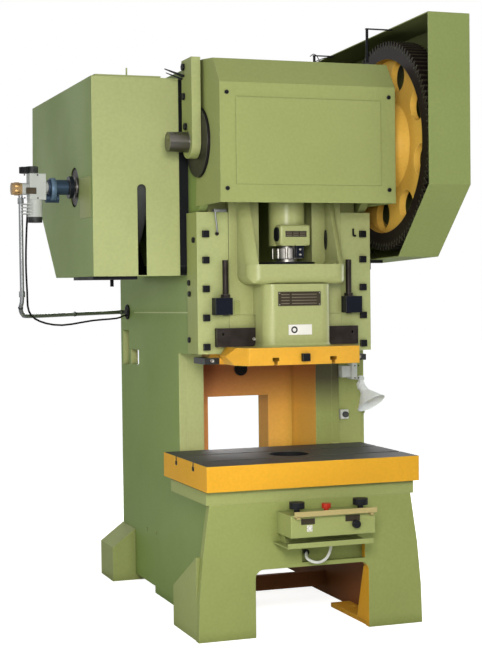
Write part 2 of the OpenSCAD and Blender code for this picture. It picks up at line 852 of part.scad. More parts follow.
// ---------------------------------------------------------------- flywheel and motor

module clutch_drum() {
  color(dark) difference() {
    union() {
      xc(-wheel_x0 - 40, -wheel_x0 - 3, shaft_y, shaft_z, 190);
      xc(-wheel_x0 - 60, -wheel_x0 - 40, shaft_y, shaft_z, 92);
    }
    xc(-wheel_x0 - 61, -wheel_x0 - 2, shaft_y, shaft_z, shaft_r + fit);
  }
}

module flywheel() {
  color([0.35, 0.36, 0.36]) difference() {
    union() {
      xc(-wheel_x0, -wheel_x1, shaft_y, shaft_z, flywheel_radius);
    }
    difference() {
      union() {
        xc(-wheel_x0 - 1, -wheel_x0 + 80, shaft_y, shaft_z, flywheel_radius - 48);
        xc(-wheel_x1 - 80, -wheel_x1 + 1, shaft_y, shaft_z, flywheel_radius - 48);
      }
      xc(-wheel_x0 - 2, -wheel_x1 + 2, shaft_y, shaft_z, 105);
    }
    xc(-wheel_x0 - 1, -wheel_x1 + 1, shaft_y, shaft_z, shaft_r + slip);
    for (k = [0 : 5]) xc(-wheel_x0 - 1, -wheel_x1 + 1,
      shaft_y + 195 * cos(60 * k), shaft_z + 195 * sin(60 * k), 44);
  }
}

// fixed half of the brake, bolted to the side plate
module brake_housing() {
  color(dark) difference() {
    union() {
      xc(-guard_x1 - 100, -fw, shaft_y, shaft_z, 120);
      xc(-guard_x1 - 100, -guard_x1 - 60, shaft_y, shaft_z, 200);
    }
    xc(-guard_x1 - 101, -fw + 1, shaft_y, shaft_z, shaft_r + 8);
  }
}

module motor() {
  color([0.30, 0.34, 0.30]) difference() {
    union() {
      xc(-330, 150, motor_y, motor_z, 142);
      xc(-380, -330, motor_y, motor_z, 118);
      xc(150, 190, motor_y, motor_z, 130);
      for (x = [-250, 20]) bx(x, x + 70, motor_y - 130, motor_y + 130, deck_z, motor_z - 90);
      bx(-130, 30, motor_y - 50, motor_y + 50, motor_z + 120, motor_z + 190);
    }
    xc(-381, -300, motor_y, motor_z, motor_shaft_r + slip);
  }
}

module motor_pulley() {
  color(steel) {
    xc(-wheel_x0, -302, motor_y, motor_z, motor_shaft_r);
    xc(-wheel_x0 + 10, -wheel_x0 + 150, motor_y, motor_z, pulley_radius);
  }
}

// belt loop round both wheels, from two circles and the band between their tangents
module loop(r1, r2) {
  dy = motor_y - shaft_y;
  dz = motor_z - shaft_z;
  d = norm([dy, dz]);
  base = atan2(dz, dy);
  a = acos((r1 - r2) / d);
  translate([shaft_y, shaft_z]) circle(r = r1);
  translate([motor_y, motor_z]) circle(r = r2);
  polygon([
    [shaft_y + r1 * cos(base + a), shaft_z + r1 * sin(base + a)],
    [motor_y + r2 * cos(base + a), motor_z + r2 * sin(base + a)],
    [motor_y + r2 * cos(base - a), motor_z + r2 * sin(base - a)],
    [shaft_y + r1 * cos(base - a), shaft_z + r1 * sin(base - a)]
  ]);
}

module drive_belts() {
  color(dark) for (k = [0 : belt_count - 1])
    translate([-wheel_x0 + 22 + k * 42, 0, 0]) rotate([90, 0, 90]) linear_extrude(height = belt_w)
      difference() {
        loop(flywheel_radius + 0.4 + belt_t, pulley_radius + 0.4 + belt_t);
        loop(flywheel_radius + 0.4, pulley_radius + 0.4);
      }
}

// ---------------------------------------------------------------- guards

function guard_outline(t, front = guard_front) = [
  [front + t, guard_z0 + t], [front + t, guard_z1 - t], [guard_knee_y - 23 - t, guard_z1 - t],
  [guard_knee_y - t, guard_knee_z], [guard_toe_y - 0.4 * t, guard_z0 + t]
];

module flywheel_guard() {
  sx = fw + 240;
  color(leaf) {
    difference() {
      union() {
        xp(-guard_x0, -guard_x1, guard_outline(0));
        bx(-guard_x0 + 20, -guard_x1 - 86, guard_front + 8, guard_knee_y - 60, guard_z1 - 1, guard_z1 + 9);
      }
      xp(-guard_x0 + guard_t, -guard_x1 + 1, guard_outline(guard_t));
      xc(-guard_x0 - 1, -guard_x0 + guard_t + 1, shaft_y, shaft_z, eye_r);
      bx(-sx - 22, -sx + 22, guard_front - 1, guard_front + guard_t + 1, guard_z0 - 1, guard_z0 + 425);
      yc(guard_front - 1, guard_front + guard_t + 1, -sx, guard_z0 + 425, 22);
    }
    zc(guard_z1 + 9, guard_z1 + 46, -fw - 300, guard_front + 30, 4);
  }
}

backing_front = max(guard_front, way_front + 12);

// black spacer ring between the guard and the side plate, behind the guide housings
module guard_backing() {
  color(dark) difference() {
    xp(-guard_x1, -fw, guard_outline(3, backing_front));
    xp(-guard_x1 - 1, -fw + 1, guard_outline(58, backing_front));
    difference() {
      bx(-guard_x1 - 1, -fw + 1, backing_front, backing_front + 48, guard_z0, guard_z0 + 48);
      xc(-guard_x1 - 2, -fw + 2, backing_front + 48, guard_z0 + 48, 40);
    }
  }
}

tray_t = 14;

// drip trays under both guards, with their drain stubs
module drip_trays() {
  hz = crank_height - 567.6;
  color(dark) {
    bx(-guard_x0 + 2, -guard_x0 + 225, 215, 620, guard_z0 - 16, guard_z0);
    zc(guard_z0 - 50, guard_z0 - 16, -fw - 340, 400, 9);
    bx(housing_x, housing_x + 90, 60, 110, hz - tray_t, hz);
    zc(hz - 46, hz - tray_t, housing_x + 24, 85, 9);
  }
}

hood_x0 = fw + 51;
hood_x1 = fw + 267;
hood_t = 5;
function hood_outline(t) = [
  [-570 + t, crank_height - 226 + 0.4 * t], [-570 + t, crank_height + 573 - t], [760 - t, crank_height + 534 - t],
  [760 - t, crank_height - 350], [420 - 0.4 * t, crank_height - 577 + t], [-236 + 0.4 * t, crank_height - 557 + t]
];

// open-sided sheet hood round the main gear and the pinion
module gear_hood() {
  color(leaf) difference() {
    xp(hood_x0, hood_x1, hood_outline(0));
    xp(hood_x0 - 1, hood_x1 - hood_t, hood_outline(hood_t));
  }
}

stay_r = 7;

// bent round bars and flat straps that hold the hood to the frame
module hood_stays() {
  color(dark) {
    zc(head_top + cover_t, crank_height + 550.5, fw - 73, -164, stay_r);
    bx(fw - 73 - stay_r, hood_x0 + 12, -164 - stay_r, -164 + stay_r, crank_height + 550.5, crank_height + 555.5);
    zc(head_top, crank_height + 529.5, fw - 52, 552, stay_r);
    bx(fw - 52 - stay_r, hood_x0 + 12, 552 - stay_r, 552 + stay_r, crank_height + 529.5, crank_height + 534.5);
    for (z = [crank_height - 180, crank_height + 170]) {
      bx(fw, fw + 12, 640, 755, z, z + 80);
      bx(fw + 12, fw + 110, 743, 755, z, z + 80);
    }
  }
}

// ---------------------------------------------------------------- air supply

module air_union() {
  x0 = wheel_x0 + 203;
  x1 = wheel_x0 + 75;
  color([0.22, 0.32, 0.42]) difference() {
    union() {
      xc(-x0, -x1, shaft_y, shaft_z, 38);
      xc(-x1 - 22, -x1, shaft_y, shaft_z, 56);
      xc(-x0 - 12, -x0 + 56, shaft_y, shaft_z - 56, 22);
    }
    xc(-x1 - 60, -x1 + 1, shaft_y, shaft_z, 20 + slip);
  }
}

valve_x = fw + 680;

module air_valve() {
  color(white) {
    bx(-valve_x - 41, -valve_x + 41, shaft_y - 40, shaft_y + 40, shaft_z - 65, shaft_z + 65);
    xc(-valve_x + 41, -wheel_x0 - 203, shaft_y, shaft_z, 26);
    zc(shaft_z - 150, shaft_z - 65, -valve_x - 8, shaft_y, 38);
  }
  color(dark) {
    zc(shaft_z - 178, shaft_z - 150, -valve_x - 8, shaft_y, 36);
    zc(shaft_z + 65, shaft_z + 102, -valve_x - 20, shaft_y, 30);
  }
  color([0.55, 0.42, 0.24]) xc(-valve_x - 126, -valve_x - 41, shaft_y, shaft_z - 10, 30);
}

pipe_x = fw + 760;
pipe_in_z = head_z + 196;
pipe_route = [
  [-pipe_x, shaft_y, shaft_z - 41.5], [-pipe_x, shaft_y, head_z + 290], [-pipe_x - 4, shaft_y + 20, head_z + 240],
  [-pipe_x + 12, shaft_y + 50, head_z + 206], [-pipe_x + 60, shaft_y + 96, pipe_in_z],
  [-fw - 90, 1296, pipe_in_z], [-fw - 50, 1328, pipe_in_z],
  [-fw - 20, 1344, pipe_in_z], [-fw + 20, 1344, pipe_in_z]
];
wire_route = [
  [-valve_x - 34, shaft_y + 36, shaft_z - 65.5], [-valve_x - 44, shaft_y + 40, shaft_z - 210],
  [-pipe_x + 26, shaft_y, head_z + 320], [-pipe_x + 40, shaft_y + 30, head_z + 220],
  [-pipe_x + 110, shaft_y + 100, head_z + 168], [-pipe_x + 260, shaft_y + 260, head_z + 142],
  [-pipe_x + 480, shaft_y + 480, head_z + 158], [-fw - 80, 1296, head_z + 162], [-fw - 24, 1344, pipe_in_z - 20],
  [-fw + 20, 1344, pipe_in_z - 20]
];

// air pipe and the thin wire beside it, down and back into the side plate
module air_lines() {
  color([0.55, 0.56, 0.56]) {
    tube(pipe_route, 11, [0.32, 0.9, 0.3]);
    tube(wire_route, 5, [0.32, 0.9, 0.3], 8);
  }
  // rubber grommet in the side plate
  color(dark) difference() {
    union() {
      xc(-fw - 8, -fw, 1344, pipe_in_z, 42);
      xc(-fw, -fw + 12, 1344, pipe_in_z, 34 - fit);
    }
    xc(-fw - 9, -fw + 13, 1344, pipe_in_z, 11 + fit);
    xc(-fw - 9, -fw + 13, 1344, pipe_in_z - 20, 5 + fit);
  }
}

// ---------------------------------------------------------------- controls

module control_box() {
  color(leaf) difference() {
    union() {
      bx(control_x0, control_x1, control_front, bed_front, control_z0, control_z1);
      bx(control_x0 - 20, control_x1 - 14, control_front - 8, bed_front, control_z0 - 46, control_z0 - 40);
      bx(control_x0 - 20, control_x1 - 14, control_front - 14, control_front - 8, control_z0 - 46, control_z0 - 22);
      bx(control_x0 + 14, control_x1 - 40, bed_front - 60, bed_front, control_z0 - 40, control_z0);
    }
    bx(control_x0 + 5, control_x1 - 5, control_front + 5, bed_front + 1, control_z0 + 5, control_z1 - 5);
    for (x = [control_mid - palm_x, control_mid + palm_x]) zc(control_z1 - 6, control_z1 + 1, x, button_y, 14 + slip);
    zc(control_z1 - 6, control_z1 + 1, control_mid - 13, button_y, 12 + slip);
    yc(control_front - 1, control_front + 6, control_x1 - 102, control_z0 + 50, 9 + slip);
  }
}

module control_rail() {
  color([0.70, 0.60, 0.42]) {
    bx(control_x0 + 6, control_x1 - 4, control_front - 34, control_front - 28, control_z1 - 2, control_z1 + 22);
    for (x = [control_x0 + 20, control_x1 - 34]) bx(x, x + 16, control_front - 28, control_front, control_z1 - 14, control_z1 - 2);
  }
}

module palm_button(x) {
  zc(control_z1 - 20, control_z1 + 26, x, button_y, 14);
  zc(control_z1 + 26, control_z1 + 55, x, button_y, palm_radius);
}

module palm_button_left() {
  color(dark) palm_button(control_mid - palm_x);
}

module palm_button_right() {
  color(dark) palm_button(control_mid + palm_x);
}

module stop_button() {
  color(red) {
    zc(control_z1 - 18, control_z1 + 20, control_mid - 13, button_y, 12);
    zc(control_z1 + 20, control_z1 + 42, control_mid - 13, button_y, 22);
  }
}

module selector_knob() {
  color(dark) {
    yc(control_front - 8, control_front + 18, control_x1 - 102, control_z0 + 50, 9);
    yc(control_front - 26, control_front - 8, control_x1 - 102, control_z0 + 50, 19);
  }
}

cable_route = [
  [64, -360, control_z0 - 46], [64, -360, control_z0 - 80], [44, -364, control_z0 - 120], [10, -362, control_z0 - 140],
  [-24, -350, control_z0 - 138], [-46, -332, control_z0 - 122], [-38, -306, control_z0 - 104], [-36, -290, control_z0 - 100],
  [-36, bed_front + 34, control_z0 - 100]
];

module control_cable() {
  color(white) tube(cable_route, 7, [0.2, 0.3, 0.9], 8);
}

module electric_cabinet() {
  color(leaf) difference() {
    bx(fw, cab_x1, cab_y0, cab_y1, cab_z0, cab_z1);
    bx(fw + 6, cab_x1 + 1, cab_y0 + 6, cab_y1 - 6, cab_z0 + 6, cab_z1 - 6);
  }
}

module cabinet_door() {
  color(leaf) {
    bx(cab_x1 + 0.5, cab_x1 + door_t, cab_y0, cab_y1, cab_z0, cab_z1);
    yc(cab_y0 + 30, cab_y0 + 60, cab_x1 + door_t + 12, (cab_z0 + cab_z1) / 2, 8);
    xc(cab_x1 + door_t, cab_x1 + door_t + 12, cab_y0 + 45, (cab_z0 + cab_z1) / 2, 8);
    // hinge knuckles
    for (z = [cab_z0 + 80, cab_z1 - 140]) zc(z, z + 60, cab_x1 + door_t, cab_y1, 9);
  }
}

lamp_x = fw + 101;
lamp_y = cab_y0 - 70;
lamp_z = head_z - 188;

// switch box, light housing and bracket on the cabinet face
module lamp_base() {
  color(steel) {
    bx(fw + 4, fw + 54, cab_y0 - 50, cab_y0, lamp_z + 38, lamp_z + 98);
    bx(fw + 54, fw + 86, cab_y0 - 60, cab_y0, lamp_z + 28, lamp_z + 112);
    difference() {
      bx(fw + 86, fw + 116, lamp_y - 14, cab_y0, lamp_z + 24, lamp_z + 38);
      zc(lamp_z + 23, lamp_z + 39, lamp_x, lamp_y, 7 + slip);
    }
    bx(fw + 6, fw + 50, cab_y0 - 24, cab_y0, lamp_z - 182, lamp_z - 134);
  }
  color(dark) yc(cab_y0 - 40, cab_y0 - 24, fw + 30, lamp_z - 158, 15);
}

// swivel knuckle below the bracket
module lamp_arm() {
  color(steel) difference() {
    union() {
      zc(lamp_z, lamp_z + 46, lamp_x, lamp_y, 7);
      zc(lamp_z + 38.3, lamp_z + 46, lamp_x, lamp_y, 12);
      xc(lamp_x - 9, lamp_x + 9, lamp_y, lamp_z, 13);
      bx(lamp_x - 9, lamp_x + 9, lamp_y - 13, lamp_y + 13, lamp_z, lamp_z + 23.7);
    }
    xc(lamp_x - 10, lamp_x + 10, lamp_y, lamp_z, 5 + slip);
  }
}

// wide shade on its tilting pin, pointing down and forward
module lamp_shade() {
  color(white) {
    translate([lamp_x, lamp_y, lamp_z]) rotate([-32, 0, 0]) rotate([0, -16, 0]) rotate_extrude() polygon([
      [0, -16], [20, -16], [24, -44], [46, -74], [78, -118],
      [75, -118], [43, -76], [20, -46], [0, -46]
    ]);
    xc(lamp_x - 20, lamp_x + 20, lamp_y, lamp_z, 5);
    // two ears beside the knuckle
    for (s = [-1, 1]) translate([lamp_x + s * 14.5, lamp_y, lamp_z]) rotate([-32, 0, 0])
      translate([-4.5, -11, -24]) cube([9, 22, 34]);
  }
}

side_plate_left();
side_plate_right();
front_plate();
bed_top_plate();
throat_shell();
cross_plates();
feet();
guide_ways();
gib_housings();
gib_plates();
gib_bolts();
bolster_plate();
bearing_bushes();
bearing_flanges();
shaft_bracket();
hex_bolts();
head_cover();
cover_screws();
crankshaft();
main_gear();
connecting_rod();
rod_cap();
rod_cap_bolts();
adjusting_screw();
slide_body();
ball_retainer();
slide_plates();
shank_screw();
knockout_bar();
knockout_pin();
stop_blocks();
stop_screws();
clutch_shaft();
pinion();
clutch_drum();
brake_housing();
flywheel();
motor();
motor_pulley();
drive_belts();
flywheel_guard();
guard_backing();
drip_trays();
gear_hood();
hood_stays();
air_union();
air_valve();
air_lines();
control_box();
control_rail();
control_cable();
palm_button_left();
palm_button_right();
stop_button();
selector_knob();
electric_cabinet();
cabinet_door();
lamp_base();
lamp_arm();
lamp_shade();
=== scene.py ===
import math

import bpy
from mathutils import Matrix, Vector


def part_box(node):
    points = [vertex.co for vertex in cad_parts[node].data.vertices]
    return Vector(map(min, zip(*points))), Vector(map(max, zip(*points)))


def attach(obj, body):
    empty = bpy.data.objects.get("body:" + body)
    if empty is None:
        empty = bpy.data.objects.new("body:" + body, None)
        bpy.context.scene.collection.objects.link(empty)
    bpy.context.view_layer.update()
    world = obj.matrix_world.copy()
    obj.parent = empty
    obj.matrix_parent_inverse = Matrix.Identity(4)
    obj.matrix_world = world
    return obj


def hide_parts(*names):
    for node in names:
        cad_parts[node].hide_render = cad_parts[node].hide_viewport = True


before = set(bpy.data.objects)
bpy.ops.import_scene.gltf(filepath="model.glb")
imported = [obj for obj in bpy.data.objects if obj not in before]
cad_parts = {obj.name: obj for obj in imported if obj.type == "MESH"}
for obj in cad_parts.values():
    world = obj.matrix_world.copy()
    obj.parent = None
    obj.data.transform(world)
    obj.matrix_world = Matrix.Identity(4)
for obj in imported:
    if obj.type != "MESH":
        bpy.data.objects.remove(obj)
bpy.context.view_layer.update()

# metres; x to the right, y to the rear, z up
LEFT, RIGHT, FRONT, BACK, TOP = (-1, 0, 0), (1, 0, 0), (0, -1, 0), (0, 1, 0), (0, 0, 1)
SIDEWAYS, DEEP, UP = 0, 1, 2           # the numbers of the axes

CRANK_Z = 2.338                        # crankshaft, at y = 0
SHAFT_Y, SHAFT_Z = .5662, 2.155        # clutch shaft
MOTOR_Y, MOTOR_Z = 1.290, 2.440        # motor shaft
FRAME_SIDE = .440                      # outer faces of the side plates
COLUMN_FACE = .392                     # front faces of the two columns beside the throat
BED_TOP = .695
HOOD_MIDDLE_Y, HOOD_MIDDLE_Z = .1, 2.34
TABLE_HALF_WIDTH, TABLE_HALF_DEPTH = .538, .338    # 2 mm inside its faces
SLIDE_FLANGE_TOP = 1.354
PLATE_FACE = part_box("gib_plates")[0][1]
BED_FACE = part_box("front_plate")[0][1]
CONTROL_FACE = -.472                   # front of the control box
PIPE_X = -1.200                        # the air pipe's upright run
VALVE_X, VALVE_FACE = -1.174, SHAFT_Y - .040
GROMMET = (1.344, 1.508)               # y and z where the air pipe enters the left side plate
DOOR_FACE, HINGES_Z = .589, (.720, 1.160)
SWITCH_X, SWITCH_Z = .470, .966        # lamp switch


# ---------------------------------------------------------------- paints and metals

def tone(red, green, blue):
    """A paint-chart colour, 0 to 255 a channel, as the linear colour that a shader takes."""
    def linear(c):
        c = c / 255
        return c / 12.92 if c <= .04045 else ((c + .055) / 1.055) ** 2.4
    return (linear(red), linear(green), linear(blue), 1)


LIGHT_GREEN = tone(170, 177, 112)
# painted light and shade: a lighter green for faces that look to the front, and a darker base green for the
# guard and the left side plate, whose broad faces look to the left
FRONT_LIT_GREEN = tone(190, 196, 136)
SIDE_SHADED_GREEN = tone(148, 168, 96)
BED_GREEN = tone(162, 170, 102)
HOOD_GREEN = tone(150, 162, 99)
SLIDE_GREEN = tone(182, 186, 124)
# painted shade under the guides, on the right column's front
COLUMN_SHADE = tone(84, 78, 62)
# painted shade on the throat's walls toward the top
THROAT_SHADE = tone(168, 92, 66)
# painted shade on the hood's inner faces
HOOD_INSIDE_SHADE = tone(108, 114, 72)
# a thin light line painted along the left side plate
PALE_LINE_GREEN = tone(206, 212, 160)
GEAR_ORANGE = tone(255, 204, 92)
GEAR_BLACK = tone(34, 26, 23)
THROAT_ORANGE = tone(255, 176, 112)
# painted light on the throat's orange, toward the right and toward the table
THROAT_LIT_YELLOW = tone(255, 212, 92)
WARM_ORANGE = tone(242, 178, 50)
# the orange inner paint, darkened as painted shade inside the bed
SHADED_ORANGE = tone(150, 96, 62)
TABLE_STEEL = tone(72, 72, 73)
GREASY_STEEL = tone(58, 52, 50)
BRIGHT_STEEL = tone(168, 164, 158)
BLACKED = tone(30, 31, 34)
RUBBER = tone(22, 22, 22)
CAST_GREY = tone(92, 94, 92)
UNION_BLUE = tone(62, 78, 98)
ENAMEL = tone(226, 228, 224)
BRONZE = tone(168, 118, 62)
BRASS = tone(176, 140, 92)
GALVANISED = tone(150, 152, 154)
SIGNAL_RED = tone(196, 52, 34)
CREAM_EDGE = tone(196, 178, 122)
CABLE_WHITE = tone(224, 224, 220)
VALVE_WHITE = tone(204, 206, 202)
PLATE_DARK = tone(70, 62, 50)
LABEL_WHITE = tone(246, 242, 236)
# dust tone for the uneven film and specks, and for painted shade in closed corners
DUST_AND_SHADE = tone(150, 150, 125)
# lighter edges: a painted highlight along every edge, and rubbed wear in patches
RUBBED_AND_LIT_PAINT = tone(160, 165, 130)
RUBBED_METAL = tone(180, 178, 172)
RUBBED_PLASTIC = tone(200, 200, 198)
GREASE_FILM = tone(38, 31, 26)
BLUE_BLACK = tone(20, 24, 36)
RULE_METAL = tone(126, 116, 98)
LAMP_WHITE = tone(248, 250, 250)
BAND_BLUE = tone(104, 126, 150)
BULB_FROST = tone(244, 240, 226)
TURNED_STEEL = tone(118, 114, 108)
FLANGE_BLACK = tone(50, 46, 50)


class Field:
    """A value that runs over a surface. Sums and products of fields add the shader's own maths."""

    def __init__(self, nodes, socket):
        self.nodes, self.socket = nodes, socket

    def _with(self, operation, first, second=None):
        values = {0: first} if second is None else {0: first, 1: second}
        return self.nodes.add("ShaderNodeMath", {"operation": operation}, values)

    def __add__(self, other): return self._with("ADD", self, other)
    def __radd__(self, other): return self._with("ADD", other, self)
    def __sub__(self, other): return self._with("SUBTRACT", self, other)
    def __rsub__(self, other): return self._with("SUBTRACT", other, self)
    def __mul__(self, other): return self._with("MULTIPLY", self, other)
    def __rmul__(self, other): return self._with("MULTIPLY", other, self)
    def __pow__(self, other): return self._with("POWER", self, other)
    def __abs__(self): return self._with("ABSOLUTE", self)
    def __and__(self, other): return self._with("MULTIPLY", self, other)
    def __or__(self, other): return self._with("MAXIMUM", self, other)

    def ramp(self, low, high):
        """0 at low, 1 at high, straight between."""
        return self.nodes.add("ShaderNodeMapRange", {"clamp": True},
                              {"Value": self, "From Min": low, "From Max": high})


COLOUR_A, COLOUR_B, COLOUR_MIXED = 6, 7, 2     # a mix node's sockets for colours


class Nodes:
    """The nodes of one material or of the world."""

    def __init__(self, owner):
        owner.use_nodes = True
        self.tree = owner.node_tree

    def emptied(self):
        self.tree.nodes.clear()
        return self

    def add(self, kind, settings=None, sockets=None, out=0):
        """A new node, with its settings and what goes into its sockets, as the field that it puts out."""
        node = self.tree.nodes.new(kind)
        for key, value in (settings or {}).items():
            setattr(node, key, value)
        for key, value in (sockets or {}).items():
            self.put(node.inputs[key], value)
        return Field(self, node.outputs[out]) if len(node.outputs) else node

    def put(self, socket, value):
        if isinstance(value, Field):
            self.tree.links.new(value.socket, socket)
        else:
            socket.default_value = value


class Finish(Nodes):
    """One material: its shader, and the fields it is mixed from."""

    def __init__(self, name, metallic=0, coat=0, gloss=.12):
        self.material = bpy.data.materials.new(name)
        super().__init__(self.material)
        self.shader = self.tree.nodes["Principled BSDF"]
        self.set(Metallic=metallic, Coat_Weight=coat, Coat_Roughness=.18, Specular_IOR_Level=gloss)

    def set(self, **values):
        for key, value in values.items():
            self.put(self.shader.inputs[key.replace("_", " ")], value)

    def place(self):
        """Where the surface is, as x, y and z in metres."""
        if not hasattr(self, "_place"):
            self._vector = self.add("ShaderNodeTexCoord", out="Object")
            self._place = [self.add("ShaderNodeSeparateXYZ", None, {0: self._vector}, out=axis)
                           for axis in (SIDEWAYS, DEEP, UP)]
        return self._place

    def facing(self):
        """Which way the surface looks, as the x, y and z of its normal."""
        if not hasattr(self, "_facing"):
            normal = self.add("ShaderNodeTexCoord", out="Normal")
            self._facing = [self.add("ShaderNodeSeparateXYZ", None, {0: normal}, out=axis)
                            for axis in (SIDEWAYS, DEEP, UP)]
        return self._facing

    def cloud(self, scale, detail=2, stretch=None):
        """Even noise around a half, at so many lumps a metre."""
        self.place()
        where = self._vector
        if stretch:
            where = self.add("ShaderNodeMapping", None, {"Vector": where, "Scale": stretch})
        return self.add("ShaderNodeTexNoise", None, {"Vector": where, "Scale": scale, "Detail": detail})

    def edges(self, reach=.004):
        """Near 1 on a sharp edge, 0 on a flat."""
        soft = self.add("ShaderNodeBevel", {"samples": 6}, {"Radius": reach})
        sharp = self.add("ShaderNodeNewGeometry", out="Normal")
        along = self.add("ShaderNodeVectorMath", {"operation": "DOT_PRODUCT"}, {0: soft, 1: sharp},
                         out="Value")
        return (1 - along).ramp(.01, .16), soft

    def corners(self, reach=.08):
        """Near 1 in a closed corner, where shade falls; 0 in the open."""
        light = self.add("ShaderNodeAmbientOcclusion", {"samples": 8}, {"Distance": reach}, out="AO")
        return (1 - light).ramp(.15, .75)

    def mix(self, share, first, second):
        """The first colour, and the second over it by its share."""
        return self.blend("MIX", share, first, second)

    def blend(self, kind, share, first, second):
        return self.add("ShaderNodeMix", {"data_type": "RGBA", "blend_type": kind},
                        {"Factor": share, COLOUR_A: first, COLOUR_B: second}, out=COLOUR_MIXED)

    def grain(self, height, depth, normal, strength):
        """Small bumps, so many metres deep, on a normal that is already there."""
        return self.add("ShaderNodeBump", None, {"Height": height, "Distance": depth, "Normal": normal,
                                                 "Strength": strength})


def shade_of(colour, share):
    """The same colour, darker."""
    return tuple(c * share for c in colour[:3]) + (1,)


def between(field, low, high, soft=.0006):
    """1 between two places, 0 outside them."""
    return field.ramp(low - soft, low + soft) & (1 - field.ramp(high - soft, high + soft))


def zoned(finish, colour, zones):
    """The base colour, and over it each other colour in its own zone."""
    for second, zone in zones:
        colour = finish.mix(zone(finish), colour, second)
    return colour


def paint(name, colour=LIGHT_GREEN, *zones, rough=.42, gloss=.12):
    """Sprayed machine enamel: slight orange peel, uneven film, painted shade in corners, edges lightened by
    painted highlight and rubbed wear.
    """
    finish = Finish(name, gloss=gloss)
    base = zoned(finish, colour, zones)
    drift = finish.cloud(1.6, 3).ramp(.3, .7)
    speck = finish.cloud(70, 2).ramp(.35, .65)
    edge, rounded = finish.edges()
    corner = finish.corners()
    scuffed = edge * finish.cloud(26, 3).ramp(.42, .66)
    # painted shade darkens the closed corners, over an uneven film and specks
    deep = finish.blend("MULTIPLY", .14 * drift + .07 * speck + .5 * corner, base, DUST_AND_SHADE)
    # every edge gets a painted highlight, and rubbed wear in patches
    worn_and_lit = finish.blend("SCREEN", .24 * edge + .12 * scuffed, deep, RUBBED_AND_LIT_PAINT)
    finish.set(Base_Color=worn_and_lit,
               Roughness=rough + .10 * drift + .14 * corner + .1 * scuffed,
               Normal=finish.grain(finish.cloud(330, 1), .0006, rounded, .12))
    return finish.material


def iron(name, colour, *zones, rough=.5, metallic=.7, greasy=0., turned=None):
    """Bare or blacked metal: tool marks, dull and bright patches, bright rubbed edges."""
    finish = Finish(name, metallic=metallic)
    patch = finish.cloud(9, 4).ramp(.3, .7)
    fleck = finish.cloud(160, 2).ramp(.35, .7)
    edge, rounded = finish.edges(.002)
    marks = finish.cloud(240, 2, turned) if turned else finish.cloud(260, 2)
    body = finish.mix(.35 * patch + .12 * fleck, zoned(finish, colour, zones), shade_of(colour, .62))
    rubbed = finish.mix(.4 * edge, body, RUBBED_METAL)
    if greasy:
        film = finish.cloud(14, 5).ramp(.45, .62)
        rubbed = finish.mix(greasy * film, rubbed, GREASE_FILM)
    finish.set(Base_Color=rubbed, Roughness=rough + .14 * patch - .12 * edge,
               Normal=finish.grain(marks, .0004, rounded, .18))
    return finish.material


def moulded(name, colour, *zones, rough=.45, grainy=.15, coat=0.):
    """Moulded plastic, rubber or enamel: fine grain, faint mottling, softened edges."""
    finish = Finish(name, coat=coat)
    mottle = finish.cloud(22, 3).ramp(.3, .7)
    edge, rounded = finish.edges(.0015)
    corner = finish.corners(.02)
    # painted shade in closed corners, with faint mottling
    body = finish.mix(.18 * mottle + .4 * corner, zoned(finish, colour, zones), shade_of(colour, .6))
    finish.set(Base_Color=finish.mix(.18 * edge, body, RUBBED_PLASTIC),
               Roughness=rough + .12 * mottle,
               Normal=finish.grain(finish.cloud(900, 1), .0003, rounded, grainy))
    return finish.material


# where the other colours go on pieces painted or left bare in more than one way

def beyond(axis, place, sign=1):
    """A zone that holds all that lies past a place along one axis."""
    def zone(f):
        side = f.place()[axis].ramp(place - .0005, place + .0005)
        return side if sign > 0 else 1 - side
    return zone


def both(*zones):
    """Where all of several zones hold."""
    def zone(f):
        share = zones[0](f)
        for other in zones[1:]:
            share = share & other(f)
        return share
    return zone


def against(axis, reach=-.7):
    """A zone of the faces that look back along an axis: to the left for x, to the front for y."""
    return lambda f: 1 - f.facing()[axis].ramp(-.9, reach)


faces_front = against(DEEP, -.6)
faces_left = against(SIDEWAYS, -.6)


def from_crank(f):
    """The distance from the crankshaft's middle line."""
    x, y, z = f.place()
    return (y * y + (z - CRANK_Z) * (z - CRANK_Z)) ** .5


def gear_rim(f):
    return from_crank(f).ramp(.431, .433)


def gear_boss(f):
    return 1 - from_crank(f).ramp(.104, .106)


def skirt_ends(f):
    x, y, z = f.place()
    return abs(x).ramp(.350, .351) & (1 - z.ramp(1.3, 1.301))


def table_top(f):
    """The top, and what lies inside the table's outer faces."""
    x, y, z = f.place()
    inside = between(x, -TABLE_HALF_WIDTH, TABLE_HALF_WIDTH) & between(y, -TABLE_HALF_DEPTH, TABLE_HALF_DEPTH)
    return f.facing()[UP].ramp(.5, .8) | inside


def hole_wall(f):
    """The wall of the table's round hole, 101 to 102 mm from its middle."""
    x, y, z = f.place()
    return (1 - (x * x + y * y).ramp(.0101, .0104)) & (1 - f.facing()[UP].ramp(.3, .6))


def inner_legs(f):
    x, y, z = f.place()
    return faces_left(f) & x.ramp(0, .01) & (1 - z.ramp(.8, .81))


def inner_flanges(f):
    x, y, z = f.place()
    return (1 - abs(x).ramp(.41, .412)) & (1 - y.ramp(.3, .31))


# the inner faces of the right side plate below the bed, where the orange inner paint gets painted shade
def under_bed(f):
    x, y, z = f.place()
    return faces_left(f) & (1 - z.ramp(BED_TOP - .001, BED_TOP + .001)) & (1 - x.ramp(.41, .42))


def columns(f):
    """The front faces beside the throat."""
    return (1 - f.place()[DEEP].ramp(COLUMN_FACE - .0015, COLUMN_FACE)) & against(DEEP)(f)


def right_column(f):
    """The faces beside the right of the throat, below the guides."""
    x, y, z = f.place()
    return against(DEEP)(f) & x.ramp(.3, .301) & between(z, .82, 1.56)


def shaded_column_top(f):
    """Painted shade under the guides, darkest at the top and gone half way down."""
    return right_column(f) & f.place()[UP].ramp(.97, 1.16) * .94


